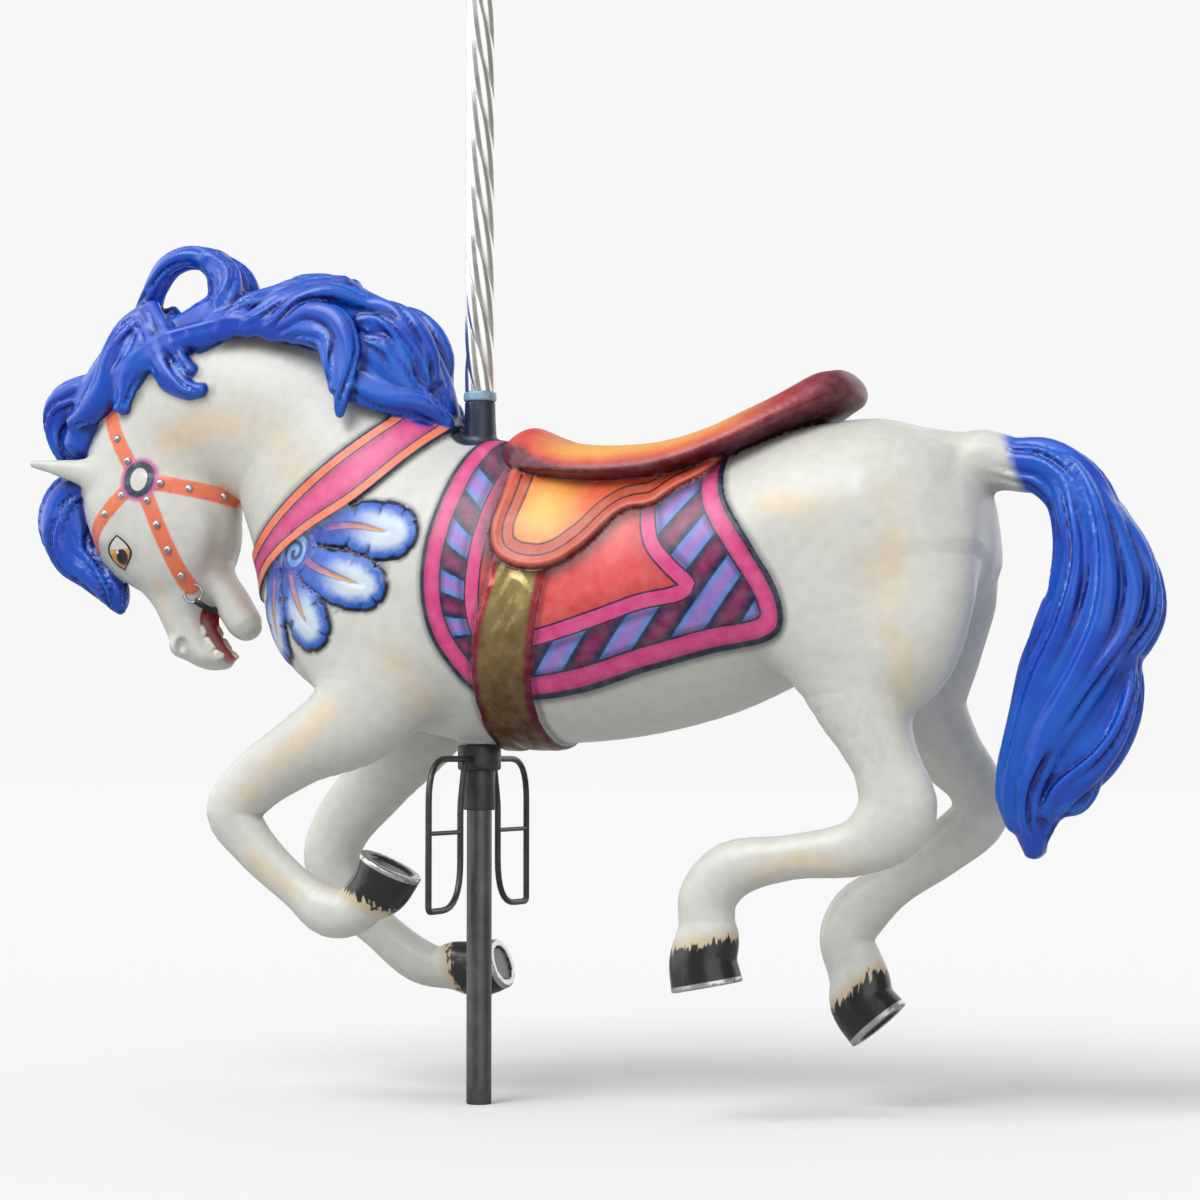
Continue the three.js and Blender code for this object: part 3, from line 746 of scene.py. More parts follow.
def field(p, middle, radius, detail=False):
    """Signed distance to the cast horse, with the carving on it."""
    n = len(p)
    x, y, z = p[:, 0], p[:, 1], p[:, 2]
    mirror = np.stack([x, np.abs(y), z], 1)
    flat = np.stack([x, np.zeros(n, np.float32), z], 1)
    body = joined(TRUNK + LEGS, p, middle, radius)
    body = swollen(body, BODY_SWELLS, mirror, middle, radius)
    # saddle cloth, flap, girth, collar band and petals, raised on the body
    cover = {name: outline.at(x, z) for name, outline in OUTLINES.items()}
    lift = np.zeros(n, np.float32)
    if middle[0] > -0.12:
        lift = 5 * MM * smooth(cover["blanket"] / (5 * MM) + 0.5)
        g = cover["girth"]
        crease = 1.0 * np.sin(x * 120 + 3 * np.sin(z * 55)) + 0.7 * np.sin(z * 210 + 4 * np.sin(x * 90))
        lift = np.maximum(lift, (8.5 + crease) * MM * smooth(g / (5 * MM) + 0.5))
        f = cover["flap"]
        rim = np.exp(-(((f - 9 * MM) / (7 * MM)) ** 2))
        lift = np.maximum(lift, (9.5 * MM + 3.5 * MM * rim) * smooth(f / (9 * MM) + 0.5))
    petal, along, across, notch = petal_relief(flat, middle)
    if middle[0] < 0.10:
        vein = 1.4 * np.exp(-((across / 0.10) ** 2))
        pillow = 2.0 + 5.0 * np.sqrt(np.clip(-petal / (26 * MM), 0, 1)) - vein
        lift = np.maximum(lift, pillow * MM * smooth(-petal / (4 * MM) + 0.3))
        heart = np.hypot(x - FLOWER_HEART[0] * MM, z - FLOWER_HEART[1] * MM)
        turn = np.arctan2(z - FLOWER_HEART[1] * MM, x - FLOWER_HEART[0] * MM)
        curl = 0.5 + 0.5 * np.cos(2 * np.pi * heart / (15 * MM) - turn)
        lift = np.maximum(lift, (4.5 + 3.0 * curl) * MM * smooth((38 * MM - heart) / (5 * MM)))
        lift = np.maximum(lift, 6 * MM * smooth(cover["collar"] / (5 * MM) + 0.5))
    body = body - lift
    trunk = body
    face = far(n)
    palate = far(n)
    if middle[0] < -0.20:
        face = joined(FACE, p, middle, radius)
        face = swollen(face, FACE_SWELLS, mirror, middle, radius)
        face = blend(face, ellipsoid(mirror, EYEBALL, [17, 12, 20]), 5 * MM)
        face = -blend(-face, ellipsoid(mirror, *NOSTRIL), 5 * MM)
        if middle[2] < 0.80:
            palate = PALATE.measure(p, np.arange(len(PALATE.a)))
            face = -blend(-face, palate, 3 * MM)
        face = face - 1.2 * MM * smooth((strap_width(x, z) - 1.0) / 2.5)
        body = blend(body, face, (5 + 21 * smooth((z - 0.80) / 0.06)) * MM)
    # boss round the pole
    rod = np.hypot(x, y)
    shape = curve(z, BOSS_SHAPE)
    boss = np.maximum((rod - shape) * 0.9, np.maximum(z - BOSS_HIGH, BOSS_LOW - z))
    body = blend(body, boss, 6 * MM)
    seat = joined([SEAT_LIMB], p, middle, radius)
    carried = blend(body, seat, 3 * MM)
    teeth = far(n)
    if middle[0] < -0.25 and middle[2] < 0.75:
        for t, side in TEETH:
            k = t * (len(PALATE.a) - 1)
            at, size = PALATE.a[int(k)], PALATE.s0[int(k)]
            centre = (at[0] / MM - 11, side * (size[1] / MM - 5), at[2] / MM - 7)
            teeth = np.minimum(teeth, ellipsoid(p, centre, [6, 4, 5]))
        carried = np.minimum(carried, teeth)
    hair = joined(HAIR, p, middle, radius)
    at_dock = 22 * smooth((0.76 - x) / 0.05) * (x > 0.55)
    at_crest = 10 * smooth((-0.08 - x) / 0.04) * smooth((z - 0.93) / 0.04)
    whole = blend(carried, hair, (6 + at_dock + at_crest) * MM)
    whole = np.maximum(whole, np.where(z < 1.0, BORE * MM - rod, -FAR))
    if not detail:
        return whole
    parts = {
        "body": body, "hair": hair, "seat": seat, "carried": carried, "palate": palate, "teeth": teeth,
        "trunk": trunk, "face": face,
    }
    return whole, parts, cover, (petal, along, across, notch)


CELL = 0.064


def by_cell(p, work, cell=CELL):
    """Runs work(points, middle, radius) on the points of each cell of space, in parallel."""
    key = np.floor(p / cell).astype(np.int64)
    order = np.lexsort((key[:, 2], key[:, 1], key[:, 0]))
    sorted_key = key[order]
    cuts = np.nonzero(np.any(np.diff(sorted_key, axis=0), axis=1))[0] + 1
    groups = np.split(order, cuts)

    def one(ids):
        q = p[ids]
        middle = (key[ids[0]] + 0.5) * cell
        return work(q.astype(np.float32), middle, cell * 0.87)

    with ThreadPoolExecutor(4) as pool:
        return groups, list(pool.map(one, groups))


def distances(p):
    out = np.full(len(p), FAR, np.float32)
    groups, results = by_cell(p, field)
    for ids, r in zip(groups, results):
        out[ids] = r
    return out


def slope(p, h):
    """Distance and unit normal at each point, from four samples around it."""
    corners = np.array([[1, -1, -1], [-1, -1, 1], [-1, 1, -1], [1, 1, 1]], float)
    normal = np.zeros_like(p)
    mean = np.zeros(len(p))
    for c in corners:
        d = distances(p + c * h)
        normal += c * d[:, None]
        mean += d / 4
    size = np.linalg.norm(normal, axis=1)
    return mean, normal / np.maximum(size, 1e-12)[:, None], size / (4 * h)


def fill_pinches(grid, voxel):
    """Fills grid corners where the surface would touch itself along an edge."""
    for _ in range(6):
        inside = grid < 0
        found = 0
        for u, v in ((0, 1), (1, 2), (2, 0)):
            ends = []
            for i, j in ((0, 0), (1, 0), (0, 1), (1, 1)):
                cut = [slice(None)] * 3
                cut[u] = slice(i, grid.shape[u] - 1 + i)
                cut[v] = slice(j, grid.shape[v] - 1 + j)
                ends.append(inside[tuple(cut)])
            a, b, c, d = ends
            crossed = np.argwhere((a == d) & (b == c) & (a != b))
            found += len(crossed)
            for i, j in ((0, 0), (1, 0), (0, 1), (1, 1)):
                q = crossed.copy()
                q[:, u] += i
                q[:, v] += j
                spot = tuple(q.T)
                grid[spot] = np.minimum(grid[spot], -0.05 * voxel)
        if not found:
            return


def surface(low, high, voxel):
    """Quads of the surface inside a box, by surface nets on a fine grid."""
    block = 4
    n = (np.ceil((high - low) / voxel / block).astype(int)) * block
    nb = n // block
    at = np.stack(np.meshgrid(*[np.arange(k) for k in nb], indexing="ij"), -1).reshape(-1, 3)
    centre = low + (at + 0.5 - 0.5 / block) * voxel * block
    rough = distances(centre)
    grid = np.repeat(np.repeat(np.repeat(rough.reshape(nb), block, 0), block, 1), block, 2)
    near = np.abs(rough) < voxel * block * 1.45 + 3 * MM
    local = np.stack(np.meshgrid(*[np.arange(block)] * 3, indexing="ij"), -1).reshape(-1, 3)
    ids = (at[near][:, None, :] * block + local[None]).reshape(-1, 3)
    grid[ids[:, 0], ids[:, 1], ids[:, 2]] = distances(low + ids * voxel)
    fill_pinches(grid, voxel)
    inside = grid < 0
    # cells that hold surface
    full = np.zeros(tuple(k - 1 for k in n), np.int8)
    for i in (0, 1):
        for j in (0, 1):
            for k in (0, 1):
                full += inside[i : n[0] - 1 + i, j : n[1] - 1 + j, k : n[2] - 1 + k]
    cells = np.argwhere((full > 0) & (full < 8))
    index = np.full(full.shape, -1, np.int64)
    index[cells[:, 0], cells[:, 1], cells[:, 2]] = np.arange(len(cells))
    total = np.zeros((len(cells), 3))
    count = np.zeros(len(cells))
    for axis in range(3):
        step = np.eye(3, dtype=int)[axis]
        others = [a for a in range(3) if a != axis]
        for i in (0, 1):
            for j in (0, 1):
                start = cells.copy()
                start[:, others[0]] += i
                start[:, others[1]] += j
                stop = start + step
                a = grid[start[:, 0], start[:, 1], start[:, 2]]
                b = grid[stop[:, 0], stop[:, 1], stop[:, 2]]
                hit = (a < 0) != (b < 0)
                t = np.where(hit, a / np.where(hit, a - b, 1), 0)
                point = start - cells + step * t[:, None]
                total += np.where(hit[:, None], point, 0)
                count += hit
    verts = low + (cells + total / count[:, None]) * voxel
    quads = []
    for axis in range(3):
        u, v = [(1, 2), (2, 0), (0, 1)][axis]
        a = inside.take(range(0, n[axis] - 1), axis)
        b = inside.take(range(1, n[axis]), axis)
        for sign, change in ((1, a & ~b), (-1, ~a & b)):
            spot = np.argwhere(change)
            spot = spot[(spot[:, u] > 0) & (spot[:, u] < n[u] - 1)]
            spot = spot[(spot[:, v] > 0) & (spot[:, v] < n[v] - 1)]
            ring = []
            for du, dv in ((-1, -1), (0, -1), (0, 0), (-1, 0))[::sign]:
                q = spot.copy()
                q[:, u] += du
                q[:, v] += dv
                ring.append(index[q[:, 0], q[:, 1], q[:, 2]])
            quads.append(np.stack(ring, 1))
    return verts, np.concatenate(quads)


# ---- meshes ----
def mesh_object(name, verts, faces, smooth_faces=True):
    mesh = bpy.data.meshes.new(name)
    verts = np.asarray(verts, np.float32)
    if isinstance(faces, np.ndarray):
        mesh.vertices.add(len(verts))
        mesh.vertices.foreach_set("co", verts.ravel())
        mesh.loops.add(faces.size)
        mesh.loops.foreach_set("vertex_index", faces.ravel().astype(np.int32))
        mesh.polygons.add(len(faces))
        mesh.polygons.foreach_set("loop_start", np.arange(len(faces), dtype=np.int32) * faces.shape[1])
        mesh.update(calc_edges=True)
    else:
        mesh.from_pydata([tuple(map(float, v)) for v in verts], [], faces)
        mesh.update()
    mesh.polygons.foreach_set("use_smooth", [smooth_faces] * len(mesh.polygons))
    thing = bpy.data.objects.new(name, mesh)
    bpy.context.scene.collection.objects.link(thing)
    return thing


def drop_islands(mesh):
    """Keeps the largest connected skin only, without stray or doubled faces."""
    work = bmesh.new()
    work.from_mesh(mesh)
    work.verts.ensure_lookup_table()
    left = set(work.verts)
    shells = []
    while left:
        stack = [left.pop()]
        shell = list(stack)
        while stack:
            for edge in stack.pop().link_edges:
                for vert in edge.verts:
                    if vert in left:
                        left.discard(vert)
                        stack.append(vert)
                        shell.append(vert)
        shells.append(shell)
    shells.sort(key=len)
    bmesh.ops.delete(work, geom=[v for shell in shells[:-1] for v in shell], context="VERTS")
    bmesh.ops.holes_fill(work, edges=[edge for edge in work.edges if edge.is_boundary], sides=4)
    work.to_mesh(mesh)
    work.free()
    mesh.validate()


def read_points(mesh):
    flat = np.empty(len(mesh.vertices) * 3, np.float32)
    mesh.vertices.foreach_get("co", flat)
    return flat.reshape(-1, 3).astype(float)


def baked(thing):
    """Turns an object with its modifiers into plain mesh."""
    graph = bpy.context.evaluated_depsgraph_get()
    mesh = bpy.data.meshes.new_from_object(thing.evaluated_get(graph))
    thing.modifiers.clear()
    old = thing.data
    thing.data = mesh
    if old.users == 0:
        bpy.data.meshes.remove(old)
    mesh.name = thing.name
    return thing


def vector_attribute(mesh, name, *columns):
    data = np.stack([np.asarray(c, float) for c in columns], 1)
    layer = mesh.attributes.new(name, "FLOAT_VECTOR", "POINT")
    layer.data.foreach_set("vector", data.astype(np.float32).ravel())


def horse_attributes(p):
    """What lies at each point of the skin, in millimetres from its edge."""
    names = (
        "hair", "seat", *OUTLINES, "petal", "along", "across", "hoof", "shoe", "mouth", "tooth", "on_face",
        "notch",
    )
    store = {name: np.zeros(len(p)) for name in names}

    def work(q, middle, radius):
        _, parts, cover, (petal, along, across, notch) = field(q, middle, radius, detail=True)
        bare = np.minimum(parts["body"], parts["hair"])
        out = {name: cover[name] / MM for name in OUTLINES}
        on_face = (parts["trunk"] - parts["face"]) / MM
        out["collar"] = np.minimum(out["collar"], 3 - on_face)
        out["on_face"] = on_face
        out["hair"] = (parts["carried"] - parts["hair"]) / MM
        out["seat"] = (bare - parts["seat"]) / MM
        out["mouth"] = 1.6 - parts["palate"] / MM
        out["tooth"] = 0.5 - parts["teeth"] / MM
        out["petal"], out["along"], out["across"], out["notch"] = -petal / MM, along, across, notch
        hoof, shoe, best = np.full(len(q), -50.0), np.full(len(q), -50.0), far(len(q))
        for limb in LEGS:
            pick = limb.near(middle, radius)
            if not len(pick):
                continue
            d = limb.measure(q, pick)
            mine = d < best
            off = q - limb.end
            axis = limb.frame[-1]
            rho = np.sqrt((off @ axis[0] / limb.s1[-1][0]) ** 2 + (off @ axis[1] / limb.s1[-1][1]) ** 2)
            ahead = off @ axis[2] / MM
            near = np.linalg.norm(off, axis=1) < 0.1
            far_fore = limb.end[1] > 0 and limb.end[0] < 0.1
            long = FAR_FORE_HOOF_LENGTH if far_fore else HOOF_LENGTH
            hoof = np.where(mine, np.where(near, ahead + long, -50), hoof)
            shoe = np.where(mine & near, np.minimum(ahead + 5, (rho - SOLE_RIM) * 40), shoe)
            best = np.minimum(best, d)
        out["hoof"], out["shoe"] = hoof, shoe
        return out

    groups, results = by_cell(p, work)
    for ids, result in zip(groups, results):
        for name, values in result.items():
            store[name][ids] = values
    strap = np.concatenate([strap_width(q[:, 0], q[:, 2]) for q in np.array_split(p, 40)])
    store["strap"] = np.where(p[:, 0] > -0.40, np.minimum(strap, store["on_face"] + 6), strap)
    low, high = curve(p[:, 0], SEAT_LOW), curve(p[:, 0], SEAT_HIGH)
    store["rise"] = (p[:, 2] - low) / (high - low)
    store["stripe"] = stripe_place(p, store["blanket"])
    painted = np.concatenate([HAIR_EDGE.at(q[:, 0], q[:, 2]) for q in np.array_split(p, 40)]) / MM
    store["hair"] = np.maximum(store["hair"], painted)
    folded = p * np.array([1, -1, 1]) * np.where(p[:, 1:2] < 0, 1, np.array([1, -1, 1]))
    tan = np.zeros(len(p))
    for spread, line in AIRBRUSH:
        line = np.array(line, float) * MM
        for a, b in zip(line[:-1], line[1:]):
            t = np.clip((folded - a) @ (b - a) / ((b - a) @ (b - a)), 0, 1)
            gap = np.linalg.norm(folded - a - t[:, None] * (b - a), axis=1)
            tan = np.maximum(tan, np.exp(-((gap / (spread * MM)) ** 2)))
    store["tan"] = tan
    return store


def stripe_place(p, blanket):
    """How far round the cloth's border each point lies, measured along leaning stripes."""
    out = np.zeros(len(p))
    near = np.nonzero(blanket > 0)[0]
    depth, place = OUTLINES["blanket"].inside(p[near][:, [0, 2]], with_place=True)
    before = (place - 0.62 * depth) * STRIPE_PITCH / FRONT_STRIPE_PITCH
    after = p[near, 0] - p[near, 2] * 0.78
    out[near] = np.where(p[near, 0] < 0.105, before, after) / MM
    return out


def make_horse():
    voxel = SKIN_STEP * MM
    low, high = np.array([-0.69, -0.2, 0.07]), np.array([0.93, 0.2, 1.19])
    verts, quads = surface(low, high, voxel)
    thing = mesh_object("painted_horse", verts, quads)
    reduce = thing.modifiers.new("Fewer Faces", "DECIMATE")
    reduce.ratio = min(1.0, SKIN_TRIANGLES / (2 * len(quads)))
    baked(thing)
    mesh = thing.data
    drop_islands(mesh)
    points = read_points(mesh)
    mean, normal, steep = slope(points, 1.2 * MM)
    points = points - normal * np.clip(mean / np.maximum(steep, 0.5), -1.5 * MM, 1.5 * MM)[:, None]
    mesh.vertices.foreach_set("co", points.astype(np.float32).ravel())
    mesh.update()
    mesh.normals_split_custom_set_from_vertices(normal.astype(np.float32))
    a = horse_attributes(points)
    # Depth in a crevice (cut) and thinness at a crest (crest) at each point: cut places painted shade in the
    # crevices, crest a painted highlight on the locks.
    reach = 8 * MM
    cut = np.clip(1 - distances(points + normal * reach) / reach, 0, 1)
    crest = np.clip(1 + distances(points - normal * reach) / reach, 0, 1)
    vector_attribute(mesh, "hair_seat", a["hair"], cut, a["seat"])
    vector_attribute(mesh, "saddle", a["blanket"], a["panel"], a["flap"])
    vector_attribute(mesh, "bands", a["girth"], a["collar"], a["strap"])
    vector_attribute(mesh, "petal", a["petal"], a["along"], a["across"])
    vector_attribute(mesh, "foot", a["hoof"], a["shoe"], a["mouth"])
    # The third channel, crest, places the painted highlight on the hair.
    vector_attribute(mesh, "airbrush_and_highlight", a["tan"], a["notch"], crest)
    vector_attribute(mesh, "pattern", a["stripe"], a["tooth"], a["rise"])
    return thing


def lathe(profile, segments=64):
    """A closed turned form from (radius, height) points in a loop, or from axis to axis."""
    closed = profile[0][0] > 1e-6
    verts, faces = [], []
    rings = []
    for r, z in profile:
        if r < 1e-6:
            rings.append([len(verts)])
            verts.append((0, 0, z))
        else:
            rings.append(list(range(len(verts), len(verts) + segments)))
            angles = [2 * math.pi * i / segments for i in range(segments)]
            verts += [(r * math.cos(a), r * math.sin(a), z) for a in angles]
    pairs = list(zip(rings, rings[1:] + rings[:1])) if closed else list(zip(rings, rings[1:]))
    for a, b in pairs:
        for i in range(segments):
            j = (i + 1) % segments
            if len(a) == 1:
                faces.append((a[0], b[j], b[i]))
            elif len(b) == 1:
                faces.append((a[i], a[j], b[0]))
            else:
                faces.append((a[i], a[j], b[j], b[i]))
    return verts, faces


def bevelled(outer, low, high, bevel):
    """Profile of a tube on the pole with rounded outer edges, from sizes in millimetres."""
    outer, low, high, bevel = (v * MM for v in (outer, low, high, bevel))
    quarter = [math.pi / 12 * k for k in range(7)]
    middle = outer - bevel
    loop = [(BORE * MM, low)]
    loop += [(middle + bevel * math.sin(a), low + bevel - bevel * math.cos(a)) for a in quarter]
    loop += [(middle + bevel * math.cos(a), high - bevel + bevel * math.sin(a)) for a in quarter]
    return loop + [(BORE * MM, high)]


def bent(corners, bends):
    """A line through corners, each rounded off by its own length."""
    corners = [np.array(corner, float) for corner in corners]
    line = [corners[0]]
    for k in range(1, len(corners) - 1):
        a, b, c = corners[k - 1 : k + 2]
        p = b + (a - b) / np.linalg.norm(a - b) * bends[k]
        q = b + (c - b) / np.linalg.norm(c - b) * bends[k]
        line += [(1 - s) ** 2 * p + 2 * s * (1 - s) * b + s * s * q for s in np.linspace(0, 1, 9)]
    return line + [corners[-1]]


def gathered(shells):
    """Several closed forms as one list of corners and one of faces."""
    verts, faces = [], []
    for points, sides in shells:
        faces += [tuple(k + len(verts) for k in face) for face in sides]
        verts += points
    return verts, faces


def sweep(points, r, around=14):
    """A closed round bar along points."""
    pts = [Vector(p) for p in points]
    verts, faces = [], []
    for i, p in enumerate(pts):
        along = (pts[min(i + 1, len(pts) - 1)] - pts[max(i - 1, 0)]).normalized()
        side = Vector((1, 0, 0))
        up = along.cross(side).normalized()
        side = up.cross(along).normalized()
        for k in range(around):
            a = 2 * math.pi * k / around
            verts.append(p + side * (r * math.cos(a)) + up * (r * math.sin(a)))
    for i in range(len(pts) - 1):
        for k in range(around):
            j = (k + 1) % around
            faces.append((i * around + k, (i + 1) * around + k, (i + 1) * around + j, i * around + j))
    faces.append(tuple(range(around)))
    faces.append(tuple(len(verts) - 1 - k for k in range(around)))
    return [tuple(v) for v in verts], faces


# ---- node helpers ----
def colour(r, g, b):
    """A display colour from 0 to 255 as a linear colour."""
    parts = [c / 255 for c in (r, g, b)]
    return tuple(c / 12.92 if c < 0.04 else ((c + 0.055) / 1.055) ** 2.4 for c in parts) + (1.0,)


class Value:
    """A node's output that adds, multiplies and so on by making Math nodes."""

    def __init__(self, tree, socket):
        self.tree, self.socket = tree, socket

    def __add__(self, other):
        return self.tree.math("ADD", self, other)

    def __radd__(self, other):
        return self.tree.math("ADD", other, self)

    def __sub__(self, other):
        return self.tree.math("SUBTRACT", self, other)

    def __rsub__(self, other):
        return self.tree.math("SUBTRACT", other, self)

    def __mul__(self, other):
        return self.tree.math("MULTIPLY", self, other)

    def __rmul__(self, other):
        return self.tree.math("MULTIPLY", other, self)

    def __truediv__(self, other):
        return self.tree.math("DIVIDE", self, other)

    def __pow__(self, other):
        return self.tree.math("POWER", self, other)

    def __abs__(self):
        return self.tree.math("ABSOLUTE", self)


class Tree:
    """Adds and links nodes in one node tree."""

    def __init__(self, tree):
        self.tree = tree
        self.spot = 0

    def add(self, kind, values=None, **settings):
        node = self.tree.nodes.new(kind)
        node.location = (200 * (self.spot // 8), -180 * (self.spot % 8))
        self.spot += 1
        for key, value in settings.items():
            setattr(node, key, value)
        for key, value in (values or {}).items():
            self.put(node.inputs[key], value)
        return node

    def put(self, socket, value):
        value = getattr(value, "socket", value)
        if isinstance(value, bpy.types.NodeSocket):
            self.tree.links.new(value, socket)
        else:
            socket.default_value = value

    def math(self, operation, *values, clamp=False):
        node = self.add("ShaderNodeMath", dict(enumerate(values)), operation=operation, use_clamp=clamp)
        return Value(self, node.outputs[0])

    def vector(self, operation, *values):
        node = self.add("ShaderNodeVectorMath", dict(enumerate(values)), operation=operation)
        return Value(self, node.outputs["Value" if operation in ("LENGTH", "DOT_PRODUCT") else "Vector"])

    def mix(self, factor, a, b, blend_type="MIX"):
        node = self.add("ShaderNodeMix", data_type="RGBA", blend_type=blend_type)
        self.put(node.inputs[0], factor)
        self.put(node.inputs[6], a)
        self.put(node.inputs[7], b)
        return Value(self, node.outputs[2])

    def step(self, value, edge, soft=0.6, falling=False):
        """A soft threshold: 1 above the edge, or below it when falling."""
        ends = {"To Min": 1.0, "To Max": 0.0} if falling else {"To Min": 0.0, "To Max": 1.0}
        ends = {"Value": value, "From Min": edge - soft, "From Max": edge + soft, **ends}
        return Value(self, self.add("ShaderNodeMapRange", ends, interpolation_type="SMOOTHSTEP").outputs[0])

    def between(self, value, low, high, soft=0.6):
        return self.math("MULTIPLY", self.step(value, low, soft), self.step(value, high, soft, True))

    def noise(self, vector, scale, detail=3.0, roughness=0.5):
        values = {"Vector": vector, "Scale": scale, "Detail": detail, "Roughness": roughness}
        return Value(self, self.add("ShaderNodeTexNoise", values).outputs[0])

    def parts(self, vector):
        return [Value(self, socket) for socket in self.add("ShaderNodeSeparateXYZ", {0: vector}).outputs]

    def joined(self, x, y, z):
        return self.out("ShaderNodeCombineXYZ", 0, {0: x, 1: y, 2: z})

    def out(self, kind, name, values=None, **settings):
        """One output of a new node."""
        return Value(self, self.add(kind, values, **settings).outputs[name])

    def place(self, tree, values):
        """Puts a node group here and gives its outputs by name."""
        node = self.add("ShaderNodeGroup", values, node_tree=tree)
        return {socket.name: Value(self, socket) for socket in node.outputs}

    def attribute(self, name):
        return self.out("ShaderNodeAttribute", "Vector", attribute_name=name)


def group(name, inputs, outputs, kind="ShaderNodeTree"):
    """A node group with named inputs (name, socket type, default) and outputs (name, socket type)."""
    tree = bpy.data.node_groups.new(name, kind)
    for label, socket, *default in inputs:
        item = tree.interface.new_socket(label, in_out="INPUT", socket_type=socket)
        if default:
            item.default_value = default[0]
    for label, socket in outputs:
        tree.interface.new_socket(label, in_out="OUTPUT", socket_type=socket)
    t = Tree(tree)
    start = t.add("NodeGroupInput")
    stop = t.add("NodeGroupOutput")
    return tree, t, {socket.name: Value(t, socket) for socket in start.outputs}, stop.inputs


def material(name, roughness=0.4, metallic=0.0, coat=0.0):
    made = bpy.data.materials.new(name)
    made.use_nodes = True
    made.node_tree.nodes.clear()
    t = Tree(made.node_tree)
    out = t.add("ShaderNodeOutputMaterial")
    shader = t.add(
        "ShaderNodeBsdfPrincipled", {"Roughness": roughness, "Metallic": metallic, "Coat Weight": coat},
    )
    t.put(out.inputs[0], shader.outputs[0])
    return made, t, shader


FLOAT, RGB, VEC = "NodeSocketFloat", "NodeSocketColor", "NodeSocketVector"


